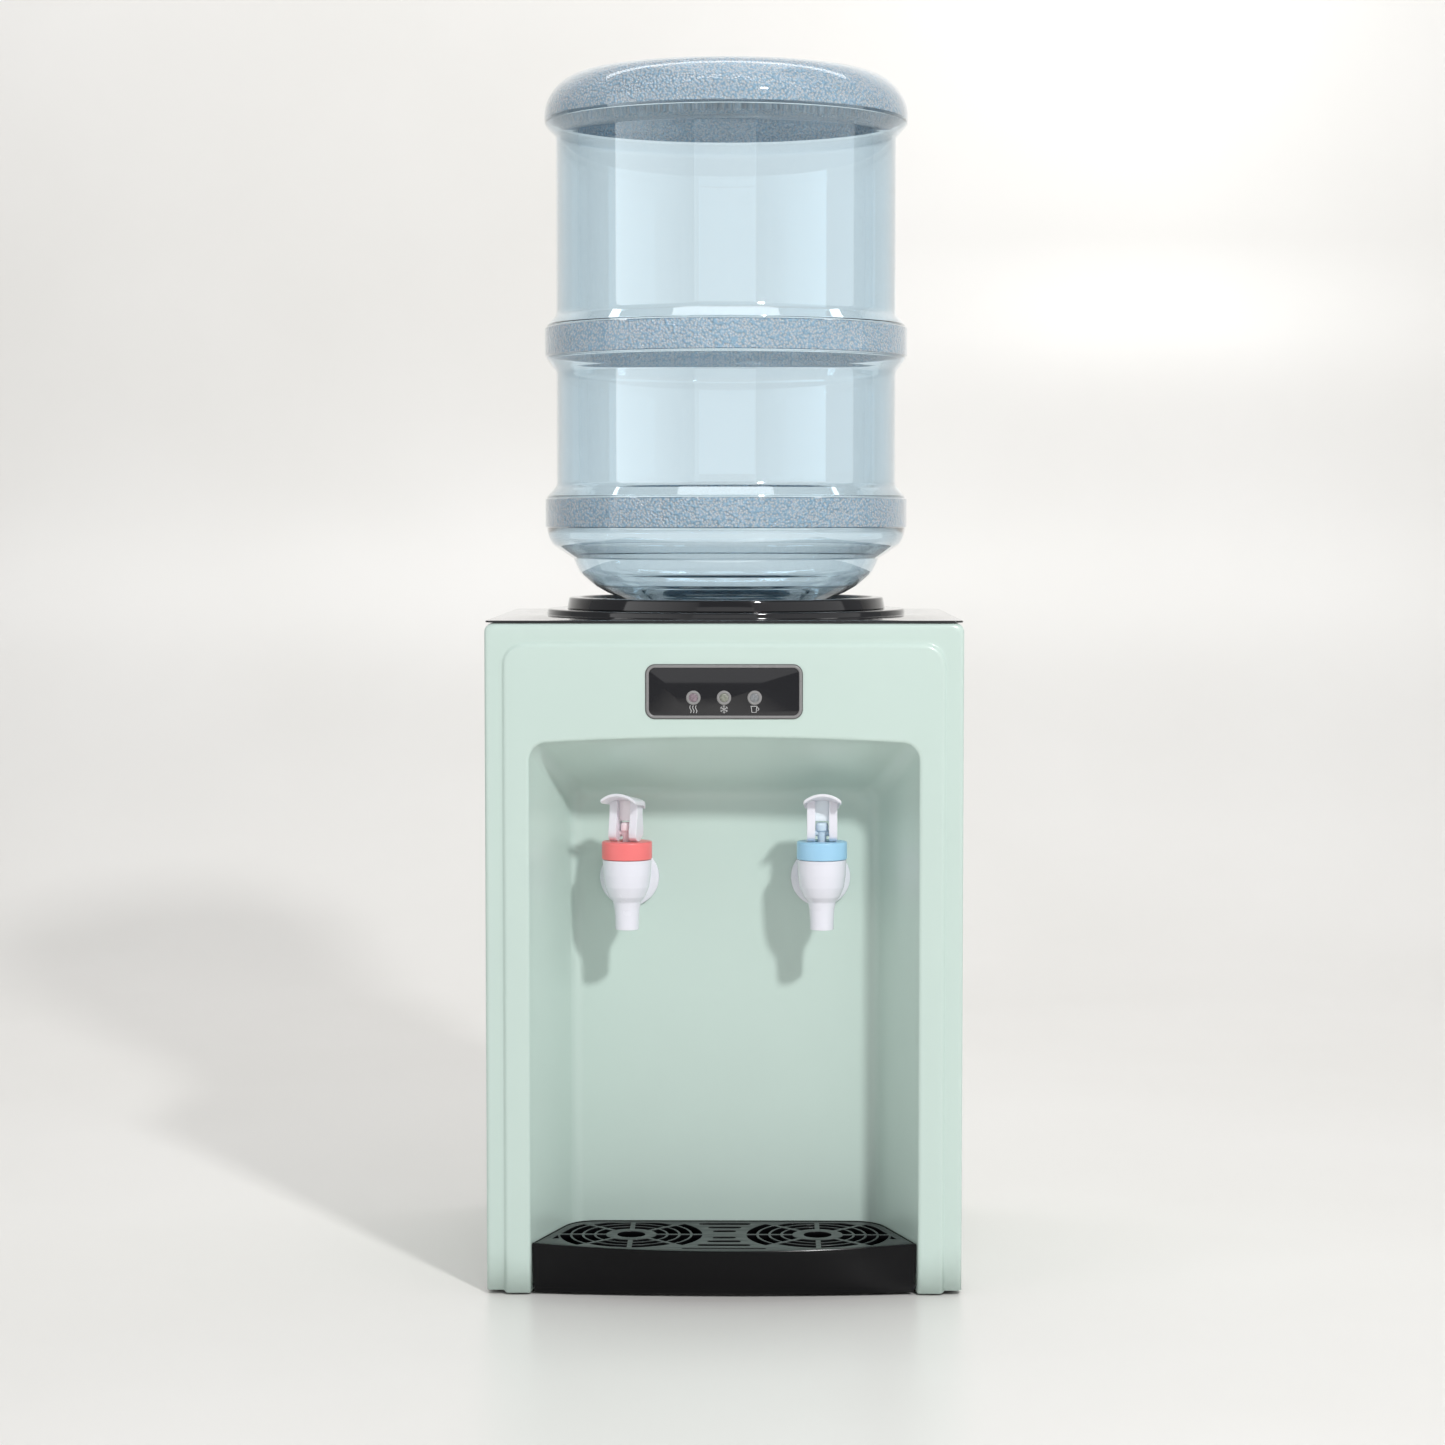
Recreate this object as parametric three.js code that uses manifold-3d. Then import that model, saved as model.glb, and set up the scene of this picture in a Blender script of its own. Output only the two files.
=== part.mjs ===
// Countertop water dispenser with an inverted bottle, a hot tap and a cold tap.
// Millimetres, +Z up, -Y towards the user. The origin is the centre of the footprint,
// on the surface that the feet stand on.

import * as THREE from 'three';
import { mergeVertices } from 'three/addons/utils/BufferGeometryUtils.js';
import Module from 'manifold-3d';

const wasm = await Module();
wasm.setup();

// ---------------------------------------------------------------- driving dimensions

const GAP = 0.3;              // clearance between neighbouring pieces
const WALL = 2.5;             // moulded and folded wall
const ARC_STEPS = 5;          // facets in a rounded corner
const ROUND_STEPS = 16;       // facets round a small turned piece
const WIDE_STEPS = 32;        // facets round a wide turned piece
const MERGE_DISTANCE = 1e-4;

const CABINET = { halfWidth: 160, front: -140, back: 160, bottom: 3, top: 452.5, corner: 6 };
const FRONT_RETURN = 22;      // how far the front panel wraps onto the sides
const PLATEAU = { halfWidth: 148, bottom: 1.5, top: 439, rise: 2.5, corner: 14, bevel: 2 };
const RECESS = {
  halfWidthFront: 130,
  halfWidthBack: 105,
  topFront: 372.6,
  topBack: 335,
  arch: 3.4,
  corner: 12,
  back: -65,
  blend: 14,
};
const BASE = { bottom: 4, thickness: 2.5 };
const FOOT = { radius: 12, x: 136, front: -122, back: 140 };
const COVER = { bottom: 452.8, thickness: 1.4, tierRadius: 126.75, tierTop: 458.6, hole: 108 };
const BOTTLE_Y = 10;          // the bottle, its seat and the cold tank share this axis
const SEAT = { radius: 112.8, topRadius: 110.5, bottom: 458.9, top: 466.8, bore: 33.5 };
const BOTTLE = {
  top: 833, rim: 128, wall: 120, thickness: 1.6, neck: 27.5, mouth: 401, baseRound: 30,
};
const DISPLAY = { width: 105, height: 36.7, middle: 407, corner: 6.6, frame: 2.3, proud: 1.4 };
const LAMP = { pitch: 20.4, height: 403, lens: 3.1, flange: 4.8 };
const TRAY = { top: 35, bottom: 1.5, back: -67, bulgeTop: 25, bulgeBottom: 8, side: 0.6, wall: 1.6 };
const GRILLE = {
  thickness: 3, centreX: 63.5, hole: 9.5, slot: 6.4, pitch: 8.2, first: 17.4, spoke: 2.6,
  rings: 4, cornerAngle: 0.16, slatOffsets: [-44, -33, -21.5, -10, 10, 21.5, 33],
};
const TAP = {
  x: 66, y: -111, pipe: 275, flange: 20.5, bowl: 16.5, spout: 8, outlet: 244,
  bowlFoot: 262, ringBottom: 292, ringTop: 304, ringRadius: 17, passage: 5.5,
};
const LEVER = {
  pivot: 309.6, footRadius: 5.3, cam: 3.8, halfWidth: 10.2, slot: 4.7, webFoot: 318,
  padHalfWidth: 13, padCrown: 19.5, top: 337.6,
};
const HOT_TURN = -20;         // the hot lever stands turned about the vertical, in degrees
const TANK = { radius: 62, bottom: 296, top: 378, outlet: 25 };
const HOT_TANK = { x: -75, y: 60, radius: 45, bottom: 45, top: 185 };
const HOSE = { outer: 7.3, inner: 5.3 };
const STUB = { radius: 4.2, bore: 2.8, length: 10 };   // pipe ends that the hoses push onto
const FAN = { height: 336, size: 92, front: 131, back: 156.5 };
const REAR = { inletX: 110, inletZ: 60, switchZ: 110, drainX: -40, drainZ: 30 };

// ---------------------------------------------------------------- colours

const MINT = { color: 0xc3ddd1, roughness: 0.35, metalness: 0 };
const GLOSS_BLACK = { color: 0x1b1b1f, roughness: 0.15, metalness: 0 };
const SATIN_BLACK = { color: 0x26272b, roughness: 0.4, metalness: 0 };
const RUBBER = { color: 0x202020, roughness: 0.9, metalness: 0 };
const WARM_GREY = { color: 0xb4aaa6, roughness: 0.35, metalness: 0.2 };
const FROSTED = { color: 0xcfd6cf, roughness: 0.5, metalness: 0 };
const TAP_WHITE = { color: 0xeeeef6, roughness: 0.3, metalness: 0 };
const HOT_RED = { color: 0xf26d6d, roughness: 0.35, metalness: 0 };
const COLD_BLUE = { color: 0x8fcdf0, roughness: 0.35, metalness: 0 };
const BOTTLE_BLUE = { color: 0x9ccbea, roughness: 0.1, metalness: 0, transparent: true, opacity: 0.5 };
const SILICONE = { color: 0xdadada, roughness: 0.7, metalness: 0 };
const STEEL = { color: 0xc4c6c8, roughness: 0.3, metalness: 1 };
const ALUMINIUM = { color: 0xb9bbbd, roughness: 0.45, metalness: 1 };
const CERAMIC = { color: 0xf0efe8, roughness: 0.6, metalness: 0 };
const FOAM = { color: 0x2c2d30, roughness: 0.95, metalness: 0 };
const BOARD_GREEN = { color: 0x1f6b3a, roughness: 0.6, metalness: 0 };

// ---------------------------------------------------------------- solids

function signedVolume(position, triangles) {
  const [a, b, c] = [new THREE.Vector3(), new THREE.Vector3(), new THREE.Vector3()];
  let sum = 0;
  for (let i = 0; i < triangles.length; i += 3) {
    a.fromBufferAttribute(position, triangles[i]);
    b.fromBufferAttribute(position, triangles[i + 1]);
    c.fromBufferAttribute(position, triangles[i + 2]);
    sum += a.dot(b.cross(c));
  }
  return sum;
}

function solid(geometry) {
  const bare = geometry.clone();
  bare.deleteAttribute('normal');
  bare.deleteAttribute('uv');
  const merged = mergeVertices(bare, MERGE_DISTANCE);
  const source = merged.index.array;
  const kept = [];
  for (let i = 0; i < source.length; i += 3) {
    const [a, b, c] = [source[i], source[i + 1], source[i + 2]];
    if (a !== b && b !== c && c !== a) kept.push(a, b, c);
  }
  if (signedVolume(merged.attributes.position, kept) < 0) kept.reverse();
  return new wasm.Manifold(new wasm.Mesh({
    numProp: 3,
    vertProperties: Float32Array.from(merged.attributes.position.array),
    triVerts: Uint32Array.from(kept),
  }));
}

function box(x0, x1, y0, y1, z0, z1) {
  const geometry = new THREE.BoxGeometry(x1 - x0, y1 - y0, z1 - z0);
  return solid(geometry.translate((x0 + x1) / 2, (y0 + y1) / 2, (z0 + z1) / 2));
}

// A drum from one end to the other along an axis; endRadius makes it a cone.
function drum(axis, radius, from, to, centre, steps = ROUND_STEPS, endRadius = radius) {
  const geometry = new THREE.CylinderGeometry(endRadius, radius, to - from, steps);
  geometry.translate(0, (from + to) / 2, 0);
  if (axis === 'x') geometry.rotateZ(-Math.PI / 2).translate(0, centre[0], centre[1]);
  if (axis === 'y') geometry.translate(centre[0], 0, centre[1]);
  if (axis === 'z') geometry.rotateX(Math.PI / 2).translate(centre[0], centre[1], 0);
  return solid(geometry);
}

// A profile of [radius, height] points turned about the vertical through (x, y).
function turned(profile, x = 0, y = 0, steps = ROUND_STEPS) {
  const points = profile.map(([r, z]) => new THREE.Vector2(r, z));
  const geometry = new THREE.LatheGeometry(points, steps);
  return solid(geometry.rotateX(Math.PI / 2).translate(x, y, 0));
}

// A shape drawn in X and Y, raised from z0 to z1.
function raised(shape, z0, z1, steps = ARC_STEPS) {
  const settings = { depth: z1 - z0, bevelEnabled: false, curveSegments: steps };
  return solid(new THREE.ExtrudeGeometry(shape, settings).translate(0, 0, z0));
}

// A shape drawn in X and Z, carried from y0 to y1.
function carried(shape, y0, y1, steps = ARC_STEPS) {
  const settings = { depth: y1 - y0, bevelEnabled: false, curveSegments: steps };
  const geometry = new THREE.ExtrudeGeometry(shape, settings);
  return solid(geometry.rotateX(Math.PI / 2).translate(0, y1, 0));
}

// A shape drawn in Y and Z, carried from x0 to x1.
function swept(shape, x0, x1, steps = ARC_STEPS) {
  const settings = { depth: x1 - x0, bevelEnabled: false, curveSegments: steps };
  const geometry = new THREE.ExtrudeGeometry(shape, settings);
  return solid(geometry.rotateZ(Math.PI / 2).rotateY(Math.PI / 2).translate(x0, 0, 0));
}

function outlineOf(shape, steps = ARC_STEPS) {
  const points = shape.getPoints(steps);
  const kept = points.filter((p, i) => p.distanceTo(points[(i + 1) % points.length]) > 1e-6);
  return kept.map((p) => [p.x, p.y]);
}

function areaOf(outline) {
  return THREE.ShapeUtils.area(outline.map(([u, v]) => new THREE.Vector2(u, v)));
}

// Skins a row of like outlines, each at its own station; place maps (u, v, station) to x, y, z.
function loft(stations, place) {
  const count = stations[0].outline.length;
  const positions = stations.flatMap(({ outline, at }) => outline.flatMap(([u, v]) => place(u, v, at)));
  const index = [];
  for (let s = 0; s + 1 < stations.length; s += 1) {
    for (let i = 0; i < count; i += 1) {
      const a = s * count + i;
      const b = s * count + ((i + 1) % count);
      index.push(a, b, b + count, a, b + count, a + count);
    }
  }
  const cap = (s, facing) => {
    const { outline } = stations[s];
    const contour = outline.map(([u, v]) => new THREE.Vector2(u, v));
    const turn = Math.sign(areaOf(outline)) * facing;
    for (const face of THREE.ShapeUtils.triangulateShape(contour, [])) {
      const wound = Math.sign(areaOf(face.map((i) => outline[i]))) === turn ? face : face.reverse();
      index.push(...wound.map((i) => i + s * count));
    }
  };
  cap(0, -1);
  cap(stations.length - 1, 1);
  const geometry = new THREE.BufferGeometry();
  geometry.setAttribute('position', new THREE.Float32BufferAttribute(positions, 3));
  geometry.setIndex(index);
  return solid(geometry);
}

const alongY = (x, z, y) => [x, y, z];
const alongZ = (x, y, z) => [x, y, z];

// ---------------------------------------------------------------- shapes

function rectangle(halfWidth, low, high, corner) {
  const shape = new THREE.Shape();
  shape.moveTo(-halfWidth + corner, low);
  shape.absarc(halfWidth - corner, low + corner, corner, -Math.PI / 2, 0);
  shape.absarc(halfWidth - corner, high - corner, corner, 0, Math.PI / 2);
  shape.absarc(-halfWidth + corner, high - corner, corner, Math.PI / 2, Math.PI);
  shape.absarc(-halfWidth + corner, low + corner, corner, Math.PI, 1.5 * Math.PI);
  return shape;
}

// A panel that stands on a square foot and has two rounded top corners.
function standingPanel(halfWidth, low, high, corner) {
  const shape = new THREE.Shape();
  shape.moveTo(-halfWidth, low);
  shape.lineTo(halfWidth, low);
  shape.absarc(halfWidth - corner, high - corner, corner, 0, Math.PI / 2);
  shape.absarc(-halfWidth + corner, high - corner, corner, Math.PI / 2, Math.PI);
  return shape;
}

function slot(x0, x1, y, width) {
  const shape = new THREE.Shape();
  shape.absarc(x1 - width / 2, y, width / 2, -Math.PI / 2, Math.PI / 2);
  shape.absarc(x0 + width / 2, y, width / 2, Math.PI / 2, 1.5 * Math.PI);
  return shape;
}

// ---------------------------------------------------------------- the group

const dispenser = new THREE.Group();

function add(name, body, look, parent = dispenser) {
  const { vertProperties, triVerts } = body.getMesh();
  const geometry = new THREE.BufferGeometry();
  geometry.setAttribute('position', new THREE.BufferAttribute(vertProperties.slice(), 3));
  geometry.setIndex(new THREE.BufferAttribute(triVerts.slice(), 1));
  geometry.computeVertexNormals();
  const mesh = new THREE.Mesh(geometry, new THREE.MeshStandardMaterial({ ...look, flatShading: true }));
  mesh.name = name;
  parent.add(mesh);
}

// ---------------------------------------------------------------- front panel and recess

// The recess narrows and its ceiling falls towards the back wall, which it meets in a round.
function recessOutline(y, grow, floor) {
  const depth = Math.max(0, (y - CABINET.front) / (RECESS.back - CABINET.front));
  const intoBlend = Math.max(0, RECESS.blend - (RECESS.back - y));
  const inset = RECESS.blend - Math.sqrt(Math.max(0, RECESS.blend ** 2 - intoBlend ** 2));
  const halfWidth = THREE.MathUtils.lerp(RECESS.halfWidthFront, RECESS.halfWidthBack, depth) - inset + grow;
  const top = THREE.MathUtils.lerp(RECESS.topFront, RECESS.topBack, depth) - inset + grow;
  const corner = RECESS.corner + grow;
  const shape = new THREE.Shape();
  shape.moveTo(-halfWidth, floor);
  shape.lineTo(halfWidth, floor);
  shape.absarc(halfWidth - corner, top - corner, corner, 0, Math.PI / 2);
  shape.quadraticCurveTo(0, top + 2 * RECESS.arch * (1 - depth), -halfWidth + corner, top);
  shape.absarc(-halfWidth + corner, top - corner, corner, Math.PI / 2, Math.PI);
  return outlineOf(shape);
}

function recessLoft(start, grow, floor) {
  const blendStart = RECESS.back - RECESS.blend;
  const stations = [start, CABINET.front + 1, blendStart];
  for (let step = 1; step <= 4; step += 1) {
    stations.push(blendStart + RECESS.blend * Math.sin((step / 4) * (Math.PI / 2)) * 0.999);
  }
  const sections = stations.map((y) => ({ at: y, outline: recessOutline(y, grow, floor) }));
  const last = sections[sections.length - 1];
  return loft([...sections, { at: RECESS.back + grow, outline: last.outline }], alongY);
}

function buildFrontPanel() {
  const { halfWidth, front, bottom, top, corner } = CABINET;
  const inner = front + WALL;
  const frame = carried(standingPanel(halfWidth, bottom, top, corner), front, front + FRONT_RETURN);
  const hollow = carried(standingPanel(halfWidth - WALL, -bottom, top - WALL, corner - WALL), inner, 0);
  const plateau = loft([
    {
      at: front - PLATEAU.rise,
      outline: outlineOf(standingPanel(PLATEAU.halfWidth - PLATEAU.bevel, PLATEAU.bottom,
        PLATEAU.top - PLATEAU.bevel, PLATEAU.corner - PLATEAU.bevel)),
    },
    {
      at: front + 1,
      outline: outlineOf(standingPanel(PLATEAU.halfWidth, PLATEAU.bottom, PLATEAU.top, PLATEAU.corner)),
    },
  ], alongY);
  const tub = recessLoft(front + 1, WALL, BASE.bottom + BASE.thickness + GAP);
  const opening = recessLoft(front - 2 * PLATEAU.rise, 0, -bottom);
  const windowHalf = DISPLAY.width / 2 - 3.5;
  const windowHeight = DISPLAY.height / 2 - 3.5;
  const windowShape = rectangle(windowHalf, DISPLAY.middle - windowHeight, DISPLAY.middle + windowHeight, 3);
  let panel = frame.subtract(hollow).add(plateau).add(tub).subtract(opening);
  panel = panel.subtract(carried(windowShape, front - 2 * PLATEAU.rise, inner + 1));
  for (const side of [-1, 1]) {
    panel = panel.subtract(drum('y', 8.4, RECESS.back - 2, RECESS.back + 5, [side * TAP.x, TAP.pipe]));
  }
  add('front_panel', panel, MINT);
}

// ---------------------------------------------------------------- sides, back, base and top

function buildSides() {
  const { halfWidth, bottom, top, corner } = CABINET;
  const lip = 10;
  for (const [name, side] of [['side_panel_left', -1], ['side_panel_right', 1]]) {
    const outer = standingPanel(halfWidth, bottom, top, corner);
    const inner = standingPanel(halfWidth - WALL, -bottom, top - WALL, corner - WALL);
    const front = CABINET.front + FRONT_RETURN + GAP;
    const back = CABINET.back - WALL - GAP;
    const sleeve = carried(outer, front, back).subtract(carried(inner, front - 1, back + 1));
    const keep = box(side > 0 ? halfWidth - lip : -halfWidth - 1, side > 0 ? halfWidth + 1 : lip - halfWidth,
      front - 1, back + 1, 0, top + 1);
    add(name, sleeve.intersect(keep), MINT);
  }
}

function buildRearCover() {
  const { halfWidth, back, bottom, top, corner } = CABINET;
  const inner = back - WALL;
  const seat = WALL + GAP;
  const lipDepth = 12;
  let cover = carried(standingPanel(halfWidth, bottom, top, corner), inner, back);
  const lipLow = BASE.bottom + BASE.thickness + GAP;
  const lipShape = standingPanel(halfWidth - seat, lipLow, top - seat, corner - WALL);
  const lip = carried(lipShape, inner - lipDepth, inner + 1)
    .subtract(carried(standingPanel(halfWidth - seat - 2, lipLow + 2, top - seat - 2, 2), 0, inner));
  cover = cover.add(lip);
  const cut = (shape) => {
    cover = cover.subtract(carried(shape, inner - 1, back + 1, 1));
  };
  const fanRadius = 41;
  const louvrePitch = 9;
  for (let row = -4; row <= 4; row += 1) {
    const z = row * louvrePitch;
    const half = Math.sqrt(fanRadius ** 2 - z ** 2);
    cut(slot(-half, -2, FAN.height + z, 5));
    cut(slot(2, half, FAN.height + z, 5));
  }
  for (let row = 0; row < 6; row += 1) {
    for (const side of [-1, 1]) {
      cut(slot(side * 60 - 28, side * 60 + 28, 170 + row * 12, 4));
    }
  }
  for (const side of [-1, 1]) {
    const well = box(REAR.inletX + side * 12 - 7.5, REAR.inletX + side * 12 + 7.5, 149, back,
      REAR.switchZ - 10.8, REAR.switchZ + 10.8);
    const pocket = box(REAR.inletX + side * 12 - 5.8, REAR.inletX + side * 12 + 5.8, 151, back + 1,
      REAR.switchZ - 8.8, REAR.switchZ + 8.8);
    cover = cover.add(well).subtract(pocket);
  }
  cover = cover.subtract(box(REAR.inletX - 13.8, REAR.inletX + 13.8, inner - 1, back + 1,
    REAR.inletZ - 10.3, REAR.inletZ + 10.3));
  cover = cover.subtract(drum('y', 7.4, inner - 1, back + 1, [REAR.drainX, REAR.drainZ]));
  add('rear_cover', cover, MINT);
}

function buildBase() {
  const half = CABINET.halfWidth - WALL - GAP;
  const top = BASE.bottom + BASE.thickness;
  let plate = box(-half, half, CABINET.front + WALL + GAP, CABINET.back - WALL - GAP, BASE.bottom, top);
  for (let row = 0; row < 6; row += 1) {
    plate = plate.subtract(raised(slot(20, 120, -20 + row * 16, 5), 0, top + 1, 2));
  }
  const standRadius = HOT_TANK.radius - 8;
  for (let leg = 0; leg < 3; leg += 1) {
    const angle = (leg + 0.25) * ((2 * Math.PI) / 3);
    const centre = [HOT_TANK.x + standRadius * Math.cos(angle), HOT_TANK.y + standRadius * Math.sin(angle)];
    plate = plate.add(drum('z', 4, BASE.bottom, HOT_TANK.bottom - GAP, centre, 10));
  }
  add('base_plate', plate, SATIN_BLACK);
  const rows = [['front', FOOT.front], ['back', FOOT.back]];
  for (const [row, y] of rows) {
    for (const [name, side] of [['left', -1], ['right', 1]]) {
      const centre = [side * FOOT.x, y];
      const foot = drum('z', FOOT.radius - 1, 0, BASE.bottom - GAP, centre, ROUND_STEPS, FOOT.radius);
      add(`foot_${row}_${name}`, foot, RUBBER);
    }
  }
}

function buildTopCover() {
  const { halfWidth, front, back, corner } = CABINET;
  const top = COVER.bottom + COVER.thickness;
  const plate = raised(rectangle(halfWidth - 0.5, front + 0.5, back, corner), COVER.bottom, top);
  const tier = turned([
    [COVER.hole, COVER.bottom - 10],
    [COVER.hole + 2, COVER.bottom - 10],
    [COVER.hole + 2, COVER.bottom],
    [COVER.tierRadius, COVER.bottom],
    [COVER.tierRadius, COVER.tierTop - 1.5],
    [COVER.tierRadius - 1.5, COVER.tierTop],
    [COVER.hole, COVER.tierTop],
    [COVER.hole, COVER.bottom - 10],
  ], 0, BOTTLE_Y, WIDE_STEPS);
  const hole = drum('z', COVER.hole, COVER.bottom - 20, top + 20, [0, BOTTLE_Y], WIDE_STEPS);
  add('top_cover', plate.subtract(hole).add(tier), GLOSS_BLACK);
}

// ---------------------------------------------------------------- bottle and its seat

// The shoulder under the bottle falls straight from the dome to the neck.
const SHOULDER = { outer: 77, outerHeight: 467, inner: 31, innerHeight: 447, seam: 78 };

function shoulderHeight(radius) {
  const slope = (SHOULDER.outerHeight - SHOULDER.innerHeight) / (SHOULDER.outer - SHOULDER.inner);
  return SHOULDER.innerHeight + slope * (radius - SHOULDER.inner);
}

function buildSeat() {
  const ridge = { inner: 60, outer: 66 };
  const ridgeTop = shoulderHeight(ridge.inner) - GAP;
  const floor = 388;
  const seat = turned([
    [8, 372],
    [12, 372],
    [12, floor - WALL],
    [SEAT.bore + WALL, floor - WALL],
    [SEAT.bore + WALL, 441],
    [75, 448],
    [106, 452],
    [106, SEAT.bottom],
    [SEAT.radius, SEAT.bottom],
    [SEAT.topRadius + 0.8, SEAT.top - 1.5],
    [SEAT.topRadius - 1, SEAT.top],
    [104, SEAT.top],
    [99, 456],
    [70, 452],
    [ridge.outer, 451.5],
    [ridge.outer, ridgeTop],
    [ridge.inner, ridgeTop],
    [ridge.inner, 450],
    [SEAT.bore, 445],
    [SEAT.bore, floor],
    [8, floor],
    [8, 372],
  ], 0, BOTTLE_Y, WIDE_STEPS);
  add('bottle_seat', seat, GLOSS_BLACK);

  let probe = turned([
    [6, floor + GAP],
    [17, floor + GAP],
    [17, floor + 3],
    [9, floor + 3],
    [9, 424],
    [0, 432],
    [0, 428],
    [6, 422],
    [6, floor + GAP],
  ], 0, BOTTLE_Y);
  probe = probe.subtract(box(-10, 10, BOTTLE_Y - 2, BOTTLE_Y + 2, 405, 420));
  add('feed_probe', probe, TAP_WHITE);
}

// The outside of the bottle from its flat base, uppermost, down to the mouth.
function bottleOutside() {
  const { top, rim, wall, neck, mouth, baseRound } = BOTTLE;
  const profile = [[0, top]];
  for (let step = 0; step <= 4; step += 1) {
    const angle = (step / 4) * (Math.PI / 2);
    profile.push([rim - baseRound * (1 - Math.sin(angle)), top - baseRound * (1 - Math.cos(angle))]);
  }
  profile.push([rim, 799], [wall, 790], [wall, 665]);
  profile.push([rim, 656], [rim, 636], [wall, 625], [wall, 548]);
  profile.push([rim, 536], [rim, 516], [124, 505], [110, 495.5], [107.5, 492.7]);
  profile.push([102, 483], [92, 474], [SHOULDER.outer, SHOULDER.outerHeight]);
  profile.push([SHOULDER.inner, SHOULDER.innerHeight], [neck, 443], [neck, mouth]);
  return profile;
}

function buildBottle() {
  const outside = bottleOutside();
  const t = BOTTLE.thickness;
  const inside = outside.map(([radius, height], i) => {
    const before = outside[Math.max(0, i - 1)];
    const after = outside[Math.min(outside.length - 1, i + 1)];
    const along = new THREE.Vector2(after[0] - before[0], after[1] - before[1]).normalize();
    const isBase = i === 0;
    return isBase ? [0, height - t] : [radius + t * along.y, height - t * along.x];
  });
  inside[inside.length - 1][1] = BOTTLE.mouth;
  const shell = turned([...outside, ...inside.reverse()], 0, BOTTLE_Y, WIDE_STEPS);
  const neckRegion = (radius) => drum('z', radius, BOTTLE.mouth - 1, SHOULDER.outerHeight + 8,
    [0, BOTTLE_Y], WIDE_STEPS);
  add('bottle', shell.subtract(neckRegion(SHOULDER.seam + GAP)), BOTTLE_BLUE);
  add('bottle_neck', shell.intersect(neckRegion(SHOULDER.seam)), BOTTLE_BLUE);

  const face = BOTTLE.mouth - 4;
  const cap = turned([
    [10.5, face],
    [30, face],
    [31, face + 1],
    [31, face + 19],
    [BOTTLE.neck + GAP, face + 19],
    [BOTTLE.neck + GAP, BOTTLE.mouth - GAP],
    [10.5, BOTTLE.mouth - GAP],
    [10.5, face],
  ], 0, BOTTLE_Y, WIDE_STEPS);
  add('bottle_cap', cap, TAP_WHITE);
}

// ---------------------------------------------------------------- display

function buildDisplay() {
  const face = CABINET.front - PLATEAU.rise;
  const frameShape = (inset, corner) => rectangle(DISPLAY.width / 2 - inset,
    DISPLAY.middle - DISPLAY.height / 2 + inset, DISPLAY.middle + DISPLAY.height / 2 - inset, corner);
  const proud = face - DISPLAY.proud;
  const innerCorner = DISPLAY.corner - DISPLAY.frame;
  const bezel = carried(frameShape(0, DISPLAY.corner), proud, face - GAP)
    .subtract(carried(frameShape(DISPLAY.frame, innerCorner), proud - 1, face));
  add('display_bezel', bezel, WARM_GREY);

  let panel = carried(frameShape(DISPLAY.frame + GAP, innerCorner), face - 1.1, face - GAP);
  panel = panel.add(carried(frameShape(4, 2.5), face - 1, CABINET.front + WALL + 2));
  const lamps = [['hot_lamp', -1], ['cold_lamp', 0], ['warm_lamp', 1]];
  for (const [name, place] of lamps) {
    const centre = [place * LAMP.pitch, LAMP.height];
    panel = panel.subtract(drum('y', LAMP.flange + GAP, proud - 1, CABINET.front + WALL + 3, centre, 16));
    const lamp = drum('y', LAMP.flange, face - 1.3, face + 1, centre, 16)
      .add(drum('y', LAMP.lens, face - 2, CABINET.front + WALL + 4, centre, 16));
    add(name, lamp, FROSTED);
  }
  add('display_panel', panel, GLOSS_BLACK);

  const boardFront = CABINET.front + WALL + 4 + GAP;
  const board = box(-44, 44, boardFront, boardFront + 1.6, LAMP.height - 11, LAMP.height + 13)
    .add(box(-38, -26, boardFront + 1, boardFront + 8, LAMP.height + 1, LAMP.height + 9))
    .add(box(20, 36, boardFront + 1, boardFront + 4, LAMP.height - 5, LAMP.height + 5));
  add('lamp_board', board, BOARD_GREEN);
}

// ---------------------------------------------------------------- drip tray and grille

// The tray in plan: it fills the recess and swells forward of the cabinet between its two ends.
function trayOutline(bulge, inset, widthLoss = 0) {
  const frontHalf = RECESS.halfWidthFront - TRAY.side - inset - widthLoss;
  const slope = (RECESS.halfWidthFront - RECESS.halfWidthBack) / (RECESS.back - CABINET.front);
  const backY = TRAY.back - inset;
  const cornerCut = 18;
  const halfAt = (y) => frontHalf - slope * (y - CABINET.front);
  const frontY = CABINET.front + Math.min(inset, 1.5);
  const shape = new THREE.Shape();
  shape.moveTo(-frontHalf, frontY);
  shape.quadraticCurveTo(0, frontY - 2 * (bulge - inset), frontHalf, frontY);
  shape.lineTo(halfAt(backY - cornerCut), backY - cornerCut);
  shape.quadraticCurveTo(halfAt(backY), backY, halfAt(backY) - cornerCut, backY);
  shape.lineTo(cornerCut - halfAt(backY), backY);
  shape.quadraticCurveTo(-halfAt(backY), backY, -halfAt(backY - cornerCut), backY - cornerCut);
  return shape;
}

function trayLoft(z0, z1, inset) {
  const section = (z) => {
    const height = (z - TRAY.bottom) / (TRAY.top - TRAY.bottom);
    const bulge = THREE.MathUtils.lerp(TRAY.bulgeBottom, TRAY.bulgeTop, height);
    return { at: z, outline: outlineOf(trayOutline(bulge, inset, 1.5 * (1 - height)), 8) };
  };
  return loft([section(z0), section(z1)], alongZ);
}

const LEDGE = TRAY.top - GRILLE.thickness - 2 * GAP;

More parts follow.
